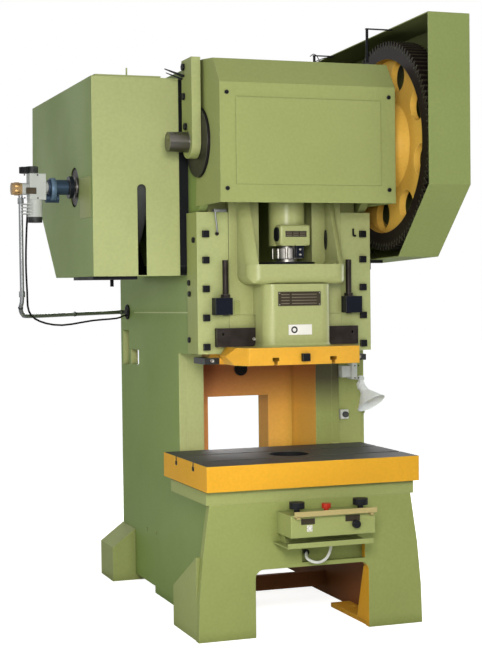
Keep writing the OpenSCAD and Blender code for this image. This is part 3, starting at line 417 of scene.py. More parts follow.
def shaded_throat_top(f):
    """The same painted shade on the throat's walls, fainter."""
    return f.place()[UP].ramp(1.00, 1.20) * .8


def lit_throat(f):
    """Painted light: the paint turns brighter toward the right and toward the table."""
    x, y, z = f.place()
    return x.ramp(-.25, .40) & (1 - z.ramp(.75, 1.30) * .35)


def hood_inside(f):
    """The hood's inner faces: all round the gear, and the left face of the outer sheet."""
    x, y, z = f.place()
    nx, ny, nz = f.facing()
    inward = ny * (HOOD_MIDDLE_Y - y) + nz * (HOOD_MIDDLE_Z - z)
    return inward.ramp(.02, .06) | (against(SIDEWAYS)(f) & x.ramp(.6975, .6985))


def pale_side_line(f):
    """A thin light line along the left side plate, 13 mm down for each metre to the rear."""
    x, y, z = f.place()
    height = z + .0127 * y
    return between(height, 1.5190, 1.5250, .001) & between(y, .112, 1.218)


green = paint("machine_green")
# painted shade: a darker green on the hood's inner faces
hood_green = paint("hood_green", HOOD_GREEN, (HOOD_INSIDE_SHADE, hood_inside))
rod_green = paint("rod_green", SLIDE_GREEN, rough=.27, gloss=.42)
# painted light on faces that look to the front; the guard's other faces keep the darker green of painted
# shade
guard_green = paint("guard_green", SIDE_SHADED_GREEN, (FRONT_LIT_GREEN, faces_front))
frame_green = paint("frame_green", LIGHT_GREEN, (FRONT_LIT_GREEN, faces_front))
finishes = {
    "main_gear": paint("gear_orange_and_grease", GEAR_ORANGE, (GEAR_BLACK, gear_rim),
                       (GEAR_BLACK, gear_boss)),
    "slide_body": paint("slide_green_and_orange", SLIDE_GREEN,
                        (WARM_ORANGE, beyond(UP, SLIDE_FLANGE_TOP, -1)), (BLACKED, skirt_ends),
                        rough=.27, gloss=.42),
    "bolster_plate": paint("table_orange_and_steel", WARM_ORANGE, (TABLE_STEEL, table_top),
                           (BLACKED, hole_wall), rough=.46),
    "front_plate": paint("bed_green_inside_orange", BED_GREEN, (WARM_ORANGE, inner_legs)),
    # painted light: brighter toward the right and toward the table
    "throat_shell": paint("throat_orange", THROAT_ORANGE, (THROAT_LIT_YELLOW, lit_throat),
                          # painted shade on the throat's walls toward the top
                          (THROAT_SHADE, shaded_throat_top), (BED_GREEN, columns),
                          # the left column's front takes the lighter green of painted light
                          (FRONT_LIT_GREEN, both(columns, beyond(SIDEWAYS, 0, -1))),
                          # painted shade on the right column's front toward the top
                          (COLUMN_SHADE, both(columns, shaded_column_top))),
    # below 0.8 m, orange inner paint darkened as painted shade
    "cross_plates": paint("cross_plates_paint", LIGHT_GREEN, (SHADED_ORANGE, beyond(UP, .8, -1))),
    # painted light on faces that look to the front
    "side_plate_right": paint("side_green_inside_burnt", LIGHT_GREEN, (FRONT_LIT_GREEN, faces_front),
                              # beside the right of the throat: the darker bed green in place of the lit front
                              # green, and painted shade toward the top
                              (BED_GREEN, right_column), (COLUMN_SHADE, shaded_column_top),
                              # inside below the bed, orange inner paint darkened as painted shade
                              (SHADED_ORANGE, under_bed)),
    # painted shadow: black from just under the bed's top up, for the shade under the table's overhang
    "bed_top_plate": paint("bed_top_green", LIGHT_GREEN, (BLACKED, beyond(UP, BED_TOP - .0015))),
    "feet": paint("feet_paint", LIGHT_GREEN, (WARM_ORANGE, inner_flanges)),
    # painted shade in the darker base green, painted light on faces that look to the front
    "side_plate_left": paint("side_green", SIDE_SHADED_GREEN, (FRONT_LIT_GREEN, faces_front), (PALE_LINE_GREEN, pale_side_line)),
    "flywheel_guard": guard_green,
    "shaft_bracket": frame_green,
    "gib_plates": frame_green,
    "gib_housings": frame_green,
    "gear_hood": hood_green,
    "connecting_rod": rod_green,
}
blacked = iron("blacked_steel", BLACKED, metallic=.4)
dark_steel = iron("dark_steel", GREASY_STEEL, rough=.42, greasy=.5)
bright = iron("ground_steel", BRIGHT_STEEL, rough=.28, metallic=.95)
blue_black = iron("blue_black_enamel", BLUE_BLACK, rough=.3, metallic=.2)
etched = iron("etched_plate", PLATE_DARK, rough=.4, metallic=.4)
rule_ink = iron("embossed_rule", RULE_METAL, rough=.4, metallic=.5)
label_white = moulded("label_white", LABEL_WHITE, rough=.4)
galvanised = iron("galvanised_steel", GALVANISED, rough=.34, metallic=.75)
brass = iron("brass", BRASS, rough=.3, metallic=.85)
lamp_white = moulded("lamp_white", LAMP_WHITE, rough=.25, coat=.2)
rubber_black = moulded("black_rubber", RUBBER, rough=.6)
valve_white = moulded("valve_rib_white", VALVE_WHITE, rough=.35)
union_light = iron("union_band_blue", BAND_BLUE, rough=.35, metallic=.4)
bulb_glass = moulded("frosted_bulb", BULB_FROST, rough=.25, grainy=.02)
for finish, nodes in (
        (green, "guide_ways head_cover rod_cap control_box electric_cabinet cabinet_door motor"),
        (blacked, "gib_bolts hex_bolts cover_screws rod_cap_bolts shank_screw hood_stays guard_backing "
                  "drip_trays ball_retainer"),
        (dark_steel, "knockout_bar clutch_drum motor_pulley pinion stop_screws"),
        (bright, "clutch_shaft adjusting_screw knockout_pin"),
        (galvanised, "air_lines"),
        (blue_black, "stop_blocks"),
        (lamp_white, "lamp_arm lamp_shade")):
    for node in nodes.split():
        finishes[node] = finish
finishes["crankshaft"] = iron("turned_shaft", TURNED_STEEL, rough=.24, metallic=.95, turned=(1, 6, 6))
finishes["bearing_flanges"] = iron("flange_black", FLANGE_BLACK, rough=.3, metallic=.6)
finishes["bearing_bushes"] = iron("bronze", BRONZE, rough=.35, metallic=.9)
finishes["brake_housing"] = finishes["flywheel"] = iron("cast_iron", CAST_GREY, rough=.6, metallic=.5)
finishes["drive_belts"] = moulded("belt_rubber", RUBBER, rough=.7)
finishes["air_union"] = iron("union_blue", UNION_BLUE, (BLACKED, beyond(SIDEWAYS, -.962)),
                             rough=.35, metallic=.5)
finishes["air_valve"] = moulded("valve_white", VALVE_WHITE, (BLACKED, beyond(UP, 2.2205)),
                                (BLACKED, beyond(UP, 2.0045, -1)), (BRASS, beyond(SIDEWAYS, -1.1955, -1)),
                                rough=.35)
finishes["control_rail"] = paint("rail_cream", CREAM_EDGE)
cable_white = finishes["control_cable"] = moulded("cable_white", CABLE_WHITE, rough=.4)
for node in ("palm_button_left", "palm_button_right", "selector_knob"):
    finishes[node] = moulded(node + "_black", BLACKED, rough=.35)
finishes["stop_button"] = moulded("stop_red", SIGNAL_RED, rough=.3, coat=.3)
finishes["slide_plates"] = moulded("plates_behind", PLATE_DARK, (LABEL_WHITE, beyond(UP, 1.5, -1)))
finishes["lamp_base"] = moulded("lamp_boxes_white", ENAMEL,
                                (BLACKED, both(beyond(DEEP, .3775, -1), beyond(UP, 1.0, -1))), rough=.4)

for node, material in finishes.items():
    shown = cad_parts[node]
    shown.data.materials.clear()
    shown.data.materials.append(material)


# ---------------------------------------------------------------- modelling by hand

def clear():
    bpy.ops.object.select_all(action="DESELECT")


def alone(piece):
    clear()
    piece.select_set(True)
    bpy.context.view_layer.objects.active = piece
    return piece


def take(piece, test):
    """Opens a piece in edit mode with those faces selected whose middle and normal pass the test."""
    alone(piece)
    bpy.ops.object.mode_set(mode="EDIT")
    bpy.ops.mesh.select_mode(type="FACE")
    bpy.ops.mesh.select_all(action="DESELECT")
    bpy.ops.object.mode_set(mode="OBJECT")
    for face in piece.data.polygons:
        face.select = bool(test(face.center, face.normal))
    bpy.ops.object.mode_set(mode="EDIT")


def leave():
    bpy.ops.object.mode_set(mode="OBJECT")


def block(low, high):
    """A box between two corners, its place in its mesh."""
    clear()
    bpy.ops.mesh.primitive_cube_add(size=1, location=[(a + b) / 2 for a, b in zip(low, high)])
    piece = bpy.context.object
    piece.scale = [b - a for a, b in zip(low, high)]
    bpy.ops.object.transform_apply(location=True, rotation=True, scale=True)
    return piece


def rod(start, end, radius, sides=32):
    """A round bar from one point to another."""
    clear()
    start, end = Vector(start), Vector(end)
    bpy.ops.mesh.primitive_cylinder_add(vertices=sides, radius=radius, depth=(end - start).length,
                                        location=(start + end) / 2)
    piece = bpy.context.object
    piece.rotation_mode = "QUATERNION"
    piece.rotation_quaternion = (end - start).to_track_quat("Z", "Y")
    bpy.ops.object.transform_apply(location=True, rotation=True, scale=True)
    return piece


def ring(start, end, radius, hole, sides=32):
    """A round bar with a hole right through it."""
    piece = rod(start, end, radius, sides)
    along = (Vector(end) - Vector(start)).normalized()
    take(piece, lambda middle, normal: abs(normal.dot(along)) > .95)
    bpy.ops.mesh.inset(thickness=radius - hole, depth=0)
    bpy.ops.mesh.bridge_edge_loops()
    leave()
    return piece


def line(points, radius, smooth=True, sides=4):
    """A tube that follows points, closed at both ends."""
    clear()
    bpy.ops.curve.primitive_bezier_curve_add()
    piece = bpy.context.object
    course = piece.data
    course.dimensions, course.bevel_depth, course.bevel_resolution = "3D", radius, sides
    course.use_fill_caps, course.resolution_u = True, 6 if smooth else 1
    spline = course.splines[0]
    spline.bezier_points.add(len(points) - 2)
    for knot, point in zip(spline.bezier_points, points):
        knot.co = point
        knot.handle_left_type = knot.handle_right_type = "AUTO" if smooth else "VECTOR"
    alone(piece)
    bpy.ops.object.convert(target="MESH")
    piece = bpy.context.object
    bpy.ops.object.transform_apply(location=True, rotation=True, scale=True)
    bpy.ops.object.shade_smooth_by_angle(angle=math.radians(40))
    return piece


def round_off(piece, width, segments=2, angle=35):
    """Rounds the sharp edges and smooths what lies between them."""
    alone(piece)
    soft = piece.modifiers.new("edges", "BEVEL")
    soft.width, soft.segments, soft.angle_limit = width, segments, math.radians(angle)
    soft.limit_method = "ANGLE"
    bpy.ops.object.modifier_apply(modifier=soft.name)
    bpy.ops.object.shade_smooth_by_angle(angle=math.radians(30))
    return piece


def sunk(piece, side, margin, depth):
    """Insets the face that looks along side and pushes it in, or out for a negative depth."""
    side = Vector(side)
    take(piece, lambda middle, normal: normal.dot(side) > .95)
    bpy.ops.mesh.inset(thickness=margin, depth=0)
    bpy.ops.transform.translate(value=-side * depth)
    leave()
    return piece


def drawn(piece, side, scale, shift):
    """Scales the face that looks along side about its own middle, and shifts it."""
    side = Vector(side)
    take(piece, lambda middle, normal: normal.dot(side) > .95)
    bpy.ops.transform.resize(value=scale)
    bpy.ops.transform.translate(value=shift)
    leave()
    return piece


def joined(pieces):
    clear()
    for piece in pieces:
        piece.select_set(True)
    bpy.context.view_layer.objects.active = pieces[0]
    if len(pieces) > 1:
        bpy.ops.object.join()
    return bpy.context.object


def placed(piece, moves):
    """A copy of the piece at each move, each with its own mesh, joined in place of the piece."""
    made = []
    for move in moves:
        again = piece.copy()
        again.data = piece.data.copy()
        again.data.transform(move)
        bpy.context.scene.collection.objects.link(again)
        made.append(again)
    bpy.data.objects.remove(piece)
    return joined(made)


def copies(piece, shifts):
    """The piece and a copy of it at each shift."""
    return placed(piece, [Matrix.Translation(shift) for shift in [(0, 0, 0)] + shifts])


def turned_about(piece, centre, axis, angles):
    """The piece turned about an axis by each of several angles, in degrees."""
    there, back = Matrix.Translation(centre), Matrix.Translation(-Vector(centre))
    return placed(piece, [there @ Matrix.Rotation(math.radians(angle), 4, axis) @ back for angle in angles])


def fit(piece, name, finish, body):
    """Names a finished piece, paints it and lets it ride on its body."""
    piece.name = piece.data.name = name
    piece.data.materials.clear()
    piece.data.materials.append(finish)
    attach(piece, body)
    return piece


def ribbed(knob, axis, middle, pitch, depth):
    """Raises every second facet round a knob that stands along an axis; pitch is in degrees."""
    across = UP + DEEP - axis
    def raised(place, normal):
        angle = math.degrees(math.atan2(place[across] - middle[1], place[SIDEWAYS] - middle[0]))
        return abs(normal[axis]) < .2 and int(angle // pitch) % 2 == 0
    take(knob, raised)
    bpy.ops.mesh.inset(thickness=.0008, depth=-depth, use_individual=True)
    leave()
    return knob


def screw_head(middle, out, radius, height):
    """A cheese head with a round socket, seated at middle and standing out."""
    out = Vector(out)
    head = rod(middle, Vector(middle) + out * height, radius, 20)
    return round_off(sunk(head, out, radius * .42, height * .6), radius * .12)


def screws_at(places, out, radius, height):
    """Equal screws at several places."""
    first = Vector(places[0])
    head = screw_head(first, out, radius, height)
    return copies(head, [Vector(place) - first for place in places[1:]])


def panel(low, high, side, margin, depth, edge):
    """A thin plate with a pressed field on the side that shows."""
    return round_off(sunk(block(low, high), side, margin, depth), edge)


def swept(points, steps=4):
    """Points on one smooth curve through the given ones."""
    knots = [Vector(p) for p in points]
    ends = [2 * knots[0] - knots[1]] + knots + [2 * knots[-1] - knots[-2]]
    made = []
    for a, b, c, d in zip(ends, ends[1:], ends[2:], ends[3:]):
        for step in range(steps):
            t = step / steps
            made.append(.5 * (2 * b + (c - a) * t + (2 * a - 5 * b + 4 * c - d) * t ** 2
                              + (3 * b - a - 3 * c + d) * t ** 3))
    return made + [knots[-1]]


def run(points):
    """The length of a course of points."""
    return sum((b - a).length for a, b in zip(points, points[1:]))


# ---------------------------------------------------------------- air pipe, wires and cable

pipe_run = swept([(PIPE_X, .566, 2.1135), (PIPE_X, .566, 1.80), (PIPE_X, .566, 1.602),
                  (-1.204, .586, 1.552), (-1.188, .616, 1.518), (-1.140, .662, 1.508),
                  (-.835, .979, 1.508), (-.530, 1.296, 1.508), (-.490, 1.328, 1.508),
                  (-.460, *GROMMET), (-.420, *GROMMET)])
pipe = line(pipe_run, .011, False, 6)
fit(pipe, "air_pipe", galvanised, "frame")
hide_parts("air_lines")

wire_run = swept([(-1.154, .602, 2.0895), (-1.164, .606, 1.945), (-1.174, .586, 1.78),
                  (-1.174, .566, 1.632), (-1.160, .596, 1.532), (-1.090, .666, 1.480),
                  (-.940, .826, 1.454), (-.720, 1.046, 1.470), (-.520, 1.296, 1.474),
                  (-.464, 1.344, 1.488), (-.420, 1.344, 1.488)], 3)
wire = line(wire_run, .005, False, 4)
fit(wire, "air_valve_wire", rubber_black, "frame")
run(wire_run)

control_run = swept([(.064, -.360, .441), (.064, -.360, .407), (.044, -.364, .367),
                     (.010, -.362, .347), (-.024, -.350, .349), (-.046, -.332, .365),
                     (-.038, -.306, .383), (-.036, -.290, .387), (-.036, -.262, .387)], 3)
control = line(control_run, .007, False, 6)
fit(control, "control_cable_run", cable_white, "frame")
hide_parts("control_cable")
run(control_run)


def air_details():
    collars = [ring((PIPE_X, .566, low), (PIPE_X, .566, high), .0165, .0105, 6)
               for low, high in ((1.604, 1.634), (2.070, 2.100))]
    fit(round_off(joined(collars), .001), "pipe_collars", galvanised, "frame")
    flange = ring((-FRAME_SIDE - .008, *GROMMET), (-FRAME_SIDE + .012, *GROMMET), .034, .0105)
    lip = ring((-FRAME_SIDE - .008, *GROMMET), (-FRAME_SIDE, *GROMMET), .042, .030)
    grommet = fit(round_off(joined([flange, lip]), .0015), "pipe_grommet", rubber_black, "frame")
    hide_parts("air_lines")
    ties = []
    for share in (.30, .62, .84):
        step = int(share * (len(pipe_run) - 1))
        place = pipe_run[step]
        ahead = (pipe_run[step + 1] - place).normalized()
        ties.append(ring(place - ahead * .003, place + ahead * .003, .0132, .0105, 20))
    fit(round_off(joined(ties), .0006), "pipe_ties", rubber_black, "frame")
    # pilot valve: cap, corner screws, blank label, hexagon inlet
    cap = rod((VALVE_X, SHAFT_Y, 2.2225), (VALVE_X, SHAFT_Y, 2.254), .0312, 40)
    ribbed(cap, UP, (VALVE_X, SHAFT_Y), 9, .0012)
    fit(round_off(sunk(cap, TOP, .008, .002), .0008, 1), "valve_cap", blacked, "frame")
    corners = [(x, VALVE_FACE, z) for x in (-1.187, -1.121) for z in (2.098, 2.212)]
    fit(screws_at(corners, FRONT, .0042, .003), "valve_screws", dark_steel, "frame")
    label = panel((-1.180, VALVE_FACE - .0012, 2.118), (-1.128, VALVE_FACE + .0004, 2.150), FRONT,
                  .003, .0004, .0003)
    fit(label, "valve_label", etched, "frame")
    nut = rod((-1.232, SHAFT_Y, SHAFT_Z - .010), (-1.206, SHAFT_Y, SHAFT_Z - .010), .0335, 6)
    fit(round_off(sunk(nut, LEFT, .007, .002), .0015), "valve_inlet_nut", brass, "frame")
    muffler = [ring((-1.162, SHAFT_Y, z), (-1.162, SHAFT_Y, z + .005), .0392, .037)
               for z in (2.018, 2.034, 2.050, 2.066)]
    fit(round_off(joined(muffler), .001), "muffler_ribs", valve_white, "frame")
    # rotating union: clamp band
    band = ring((-1.052, SHAFT_Y, 2.144), (-1.026, SHAFT_Y, 2.144), .0585, .050, 48)
    fit(round_off(band, .002), "union_band", union_light, "frame")


# ---------------------------------------------------------------- slide and rod

def slide_details():
    plate_low, plate_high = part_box("slide_plates")
    face, top = plate_low[1], plate_high[2]
    plate = panel((-.110, face - .0009, top - .068), (.110, face + .001, top), FRONT, .0032, .0006, .0004)
    fit(plate, "name_plate", etched, "slide")
    pitch, tall = .0145, .0045
    rules = [block((left, face - .0011, top - .059 + pitch * row),
                   (left + width, face + .0002, top - .059 + tall + pitch * row))
             for left, width in ((-.094, .042), (-.040, .128)) for row in range(4)]
    fit(round_off(joined(rules), .0004), "name_plate_rules", rule_ink, "slide")
    pins = [(x, face - .0006, z) for x in (-.1035, .1035) for z in (top - .0065, top - .0615)]
    fit(screws_at(pins, FRONT, .0032, .0014), "name_plate_pins", bright, "slide")
    low = plate_low[2]
    label = panel((-.058, face + .0002, low), (.063, face + .0016, low + .05), FRONT, .003, .0003, .0006)
    fit(label, "slide_label", label_white, "slide")
    dot = ring((-.0285, face + .0008, low + .025), (-.0285, face - .0006, low + .025), .0165, .0095)
    fit(round_off(dot, .0004), "label_ring", blacked, "slide")
    hatch = panel((-.272, .0118, 1.508), (-.242, .0142, 1.576), FRONT, .003, .0005, .0008)
    fit(hatch, "guide_hatch", green, "slide")
    # oil window on the inner side of the right arm, three times as tall as it is wide
    window = rod((.2088, -.003, 0), (.2040, -.003, 0), .0165, 40)
    window.scale, window.location = (1, 1, 3), (0, 0, 1.8715)
    alone(window)
    bpy.ops.object.transform_apply(location=True, rotation=True, scale=True)
    fit(round_off(sunk(window, LEFT, .0045, .0016), .0008), "arm_oil_window", blacked, "slide")
    ends = [(side * .389, .0142, 1.288) for side in (-1, 1)]
    fit(screws_at(ends, FRONT, .0095, .008), "skirt_bolts", bright, "slide")
    bar = [(side * .182, -.0158, 1.390) for side in (-1, 1)]
    fit(screws_at(bar, FRONT, .0085, .006), "bar_screws", bright, "knockout")


def rod_details():
    # rounded casting round the split clamp
    shell = block((-.0765, -.1124, 1.8392), (.0815, -.012, 1.942))
    fit(round_off(shell, .012, 4), "clamp_shell", rod_green, "rod")
    cover = block((-.0810, -.100, 1.862), (-.0755, -.034, 1.930))
    alone(cover)
    bpy.ops.object.mode_set(mode="EDIT")
    bpy.ops.mesh.select_mode(type="EDGE")
    bpy.ops.mesh.select_all(action="DESELECT")
    bpy.ops.object.mode_set(mode="OBJECT")
    for edge in cover.data.edges:
        a, b = (cover.data.vertices[i].co for i in edge.vertices)
        edge.select = abs(a.x - b.x) > .004
    bpy.ops.object.mode_set(mode="EDIT")
    bpy.ops.mesh.bevel(offset=.026, segments=8)
    leave()
    fit(round_off(sunk(cover, LEFT, .006, .0015), .0006), "clamp_side_cover", blue_black, "rod")
    plate = panel((-.050, -.1135, 1.882), (.060, -.1118, 1.911), FRONT, .002, .0004, .0003)
    fit(plate, "clamp_plate", etched, "rod")
    step, pitch = .035, .0085
    rules = [block((-.044 + step * column, -.1142, 1.887 + pitch * row),
                   (-.016 + step * column, -.1128, 1.890 + pitch * row))
             for column in range(3) for row in range(3)]
    fit(round_off(joined(rules), .0003), "clamp_plate_rules", rule_ink, "rod")
    pawl = sunk(block((.008, -.108, 1.781), (.048, -.080, 1.8404)), FRONT, .006, .003)
    fit(round_off(pawl, .002), "ratchet_pawl", blue_black, "rod")
    spots = [(.028, -.105, 1.797), (.028, -.105, 1.822)]
    fit(screws_at(spots, FRONT, .006, .004), "pawl_screws", bright, "rod")


# ---------------------------------------------------------------- guides, crown and throat

def frame_details():
    head = panel((-.372, PLATE_FACE - .016, 2.0068), (-.308, PLATE_FACE + .020, 2.022), TOP,
                 .004, .001, .0015)
    fit(head, "grease_block", galvanised, "frame")
    down = line([(-.364, PLATE_FACE - .010, 2.008), (-.363, PLATE_FACE - .011, 1.985),
                 (-.358, PLATE_FACE - .011, 1.94), (-.356, PLATE_FACE - .010, 1.912),
                 (-.356, PLATE_FACE - .002, 1.902)], .0042)
    fit(down, "grease_line", galvanised, "frame")
    foot = rod((-.356, PLATE_FACE + .001, 1.902), (-.356, PLATE_FACE - .014, 1.902), .009, 6)
    fit(round_off(sunk(foot, FRONT, .002, .002), .0006), "grease_elbow", dark_steel, "frame")
    right = line([(.364, PLATE_FACE - .005, 1.928), (.364, PLATE_FACE - .006, 1.905),
                  (.366, PLATE_FACE - .006, 1.894), (.378, PLATE_FACE - .005, 1.892)], .0048)
    fit(right, "grease_line_right", blacked, "frame")
    taper = (1, .35, .4)
    blades = [drawn(block((-.600, .028, 2.652), (-.500, .056, 2.661)), LEFT, taper, (0, .004, .034)),
              drawn(block((-.585, .060, 2.642), (-.500, .078, 2.650)), LEFT, taper, (0, .004, .030))]
    fit(round_off(joined(blades), .0008), "head_blades", blacked, "frame")
    cap = sunk(rod((.015, .7345, 1.201), (.015, .722, 1.201), .036, 40), FRONT, .010, .004)
    fit(round_off(cap, .0015), "throat_cap", blacked, "frame")
    spots = [(-FRAME_SIDE, y, z)
             for y, z in ((.138, 1.665), (.140, 1.612), (.110, 1.573), (.131, 1.435), (.133, 1.391))]
    fit(screws_at(spots, LEFT, .0085, .006), "side_bolts", blacked, "frame")


def guard_details():
    guard_low, guard_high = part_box("flywheel_guard")
    side = guard_low[0]
    patch = panel((side - .0016, .225, 1.99), (side + .0004, .455, 2.19), LEFT, .006, .0006, .0006)
    fit(patch, "guard_patch", green, "frame")
    # above the knee the guard's back leans forward, and its screws with it
    knee, lean = 2.276, .023
    slope = lean / (guard_high[2] - knee)
    spots = [(x, guard_high[1] - slope * (z - knee) - .0004, z)
             for x in (side + .022, guard_high[0] - .110) for z in (2.30, 2.46, 2.60)]
    fit(screws_at(spots, BACK, .007, .005), "guard_back_screws", blacked, "frame")
    hood_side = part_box("gear_hood")[1][0]
    outline = [(-.543, 2.14), (-.543, 2.50), (-.543, 2.87), (-.20, 2.868), (.20, 2.858),
               (.55, 2.848), (.732, 2.838), (.732, 2.50), (.732, 2.02), (.58, 1.90),
               (.40, 1.79), (.10, 1.80), (-.20, 1.81), (-.38, 1.97)]
    spots = [(hood_side, y, z) for y, z in outline]
    fit(screws_at(spots, RIGHT, .008, .005), "hood_screws", blacked, "frame")
    wires = [line([(x, .552, z) for x, z in course], .0022)
             for course in (((.364, 2.865), (.387, 2.878), (.427, 2.833), (.494, 2.792)),
                            ((.369, 2.825), (.410, 2.846), (.450, 2.860), (.494, 2.866)))]
    fit(joined(wires), "hood_wires", blacked, "frame")


# ---------------------------------------------------------------- controls, cabinet and lamp

def control_details():
    behind = CONTROL_FACE + .0004
    labels = [panel((left, CONTROL_FACE - .0016, low), (right, behind, high), FRONT, .002, .0004, .0003)
              for left, low, right, high in ((-.130, .547, -.061, .574), (.092, .549, .166, .578))]
    fit(joined(labels), "control_labels", etched, "frame")
    dial = panel((-.101, CONTROL_FACE - .0014, .514), (-.074, behind, .543), FRONT, .003, .0004, .0004)
    fit(dial, "dial_sticker", label_white, "frame")
    tick = block((-.0885, CONTROL_FACE - .0018, .536), (-.0865, CONTROL_FACE - .0008, .541))
    ticks = turned_about(round_off(tick, .0002, 1), (-.0875, CONTROL_FACE, .5285), "Y", range(0, 360, 45))
    fit(ticks, "dial_ticks", blacked, "frame")
    plate = ring((.141, behind, .537), (.141, CONTROL_FACE - .0022, .537), .0165, .0100, 40)
    fit(round_off(plate, .0006), "selector_plate", bright, "frame")
    gland = ring((.064, -.360, .4415), (.064, -.360, .424), .0125, .0072, 6)
    fit(round_off(gland, .001), "cable_gland", galvanised, "frame")
    boss = ring((-.036, BED_FACE + .001, .387), (-.036, BED_FACE - .014, .387), .0135, .0072, 24)
    fit(round_off(boss, .0012), "bed_gland", rubber_black, "frame")


def cabinet_details():
    behind = DOOR_FACE - .0005
    slat = drawn(block((behind, .500, .720), (DOOR_FACE + .006, .800, .726)), RIGHT,
                 (1, .98, .3), (0, 0, -.004))
    pitch = .022
    slats = copies(round_off(slat, .0006), [(0, 0, pitch * row) for row in range(1, 6)])
    fit(slats, "door_slats", green, "door")
    lock = sunk(rod((behind, .447, 1.010), (DOOR_FACE + .007, .447, 1.010), .014), RIGHT, .005, .003)
    fit(round_off(lock, .001), "door_lock", galvanised, "door")
    leaves = [round_off(block((behind, .838, low), (DOOR_FACE + .003, .892, low + .060)), .001)
              for low in HINGES_Z]
    fit(joined(leaves), "hinge_leaves", dark_steel, "door")
    pins = [(DOOR_FACE + .003, .852, low + step) for low in HINGES_Z for step in (.014, .046)]
    fit(screws_at(pins, RIGHT, .0042, .0025), "hinge_screws", bright, "door")
    bolts = [(x, .402, z) for x in (.462, .552) for z in (.668, 1.272)]
    fit(screws_at(bolts, FRONT, .006, .004), "cabinet_screws", dark_steel, "frame")


def lamp_details():
    pivot = Vector((.541, .332, 1.124))    # where the shade tilts on the knuckle
    lean = Matrix.Rotation(math.radians(-32), 4, "X") @ Matrix.Rotation(math.radians(-16), 4, "Y")
    along = lean @ Vector((0, 0, -1))      # from the pivot toward the shade's mouth
    bead = ring(pivot + along * .1145, pivot + along * .1185, .0795, .0745, 48)
    fit(round_off(bead, .0012), "lamp_rim", lamp_white, "lamp_head")
    # the bulb's round glass, drawn out toward its socket
    globe, neck = pivot + along * .080, .020
    clear()
    bpy.ops.mesh.primitive_uv_sphere_add(segments=24, ring_count=14, radius=.026, location=globe)
    bulb = alone(bpy.context.object)
    bpy.ops.object.transform_apply(location=True, rotation=True, scale=True)
    take(bulb, lambda middle, normal: (middle - globe).dot(along) < -.018)
    bpy.ops.transform.translate(value=-along * neck)
    leave()
    bpy.ops.object.shade_smooth_by_angle(angle=math.radians(50))
    fit(bulb, "lamp_bulb", bulb_glass, "lamp_head")
    knob = rod((SWITCH_X, .3785, SWITCH_Z), (SWITCH_X, .3630, SWITCH_Z), .0158, 24)
    ribbed(knob, DEEP, (SWITCH_X, SWITCH_Z), 15, .001)
    fit(round_off(sunk(knob, FRONT, .005, .002), .0006, 1), "lamp_switch_knob", blacked, "frame")
    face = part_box("lamp_base")[0][1]
    spots = [(x, face, z) for x in (.502, .522) for z in (1.160, 1.224)]
    fit(screws_at(spots, FRONT, .0038, .0025), "lamp_base_screws", dark_steel, "frame")


def motor_details():
    # cooling ribs all round, but for the terminal box above and the foot below
    rib = drawn(block((-.302, MOTOR_Y - .0022, MOTOR_Z + .1405), (.122, MOTOR_Y + .0022, MOTOR_Z + .1535)),
                TOP, (.985, .45, 1), (0, 0, 0))
    angles = [angle for angle in range(0, 360, 9) if 27 <= angle < 108 or 252 < angle <= 333]
    ribs = turned_about(rib, (0, MOTOR_Y, MOTOR_Z), "X", angles)
    fit(round_off(ribs, .0008, 1), "motor_ribs", green, "frame")
    cowl = ring((.146, MOTOR_Y, MOTOR_Z), (.194, MOTOR_Y, MOTOR_Z), .134, .104, 56)
    fit(round_off(cowl, .003), "fan_cowl", green, "frame")
    hoops = [ring((.1895, MOTOR_Y, MOTOR_Z), (.1925, MOTOR_Y, MOTOR_Z), radius, radius - .005, 40)
             for radius in (.030, .050, .070, .090)]
    bars = [block((.1885, MOTOR_Y - wide, MOTOR_Z - tall), (.1915, MOTOR_Y + wide, MOTOR_Z + tall))
            for wide, tall in ((.106, .003), (.003, .106))]
    fit(round_off(joined(hoops + bars), .0007, 1), "fan_grille", blacked, "frame")
    lid = panel((-.133, 1.237, 2.6295), (.033, 1.343, 2.6355), TOP, .008, .001, .0012)
    fit(lid, "terminal_lid", green, "frame")
    spots = [(x, y, 2.6352) for x in (-.125, .025) for y in (1.245, 1.335)]
    fit(screws_at(spots, TOP, .004, .003), "lid_screws", dark_steel, "frame")
    gland = rod((.0295, MOTOR_Y, 2.596), (.052, MOTOR_Y, 2.596), .015, 6)
    fit(round_off(sunk(gland, RIGHT, .005, .004), .001), "terminal_gland", blacked, "frame")
    eye = ring((-.206, MOTOR_Y, MOTOR_Z + .166), (-.194, MOTOR_Y, MOTOR_Z + .166), .027, .015, 28)
    foot = rod((-.200, MOTOR_Y, MOTOR_Z + .138), (-.200, MOTOR_Y, MOTOR_Z + .146), .020, 24)
    fit(round_off(joined([eye, foot]), .003), "motor_eye", blacked, "frame")


air_details()
slide_details()
rod_details()
frame_details()
guard_details()
control_details()
cabinet_details()
lamp_details()
motor_details()


# ---------------------------------------------------------------- floor, light and camera

def backdrop_material():
    """White paper that glows a little to the camera alone, so that it stays even and white."""
    paper_white = bpy.data.materials.new("studio_floor")
    nodes = Nodes(paper_white).emptied()
    paper = nodes.add("ShaderNodeBsdfDiffuse", None, {"Color": (.82, .82, .81, 1)})
    seen = nodes.add("ShaderNodeLightPath", out="Is Camera Ray")
    glow = nodes.add("ShaderNodeEmission", None, {"Strength": seen * .86})
    both_lights = nodes.add("ShaderNodeAddShader", None, {0: paper, 1: glow})
    nodes.add("ShaderNodeOutputMaterial", None, {"Surface": both_lights})
    return paper_white


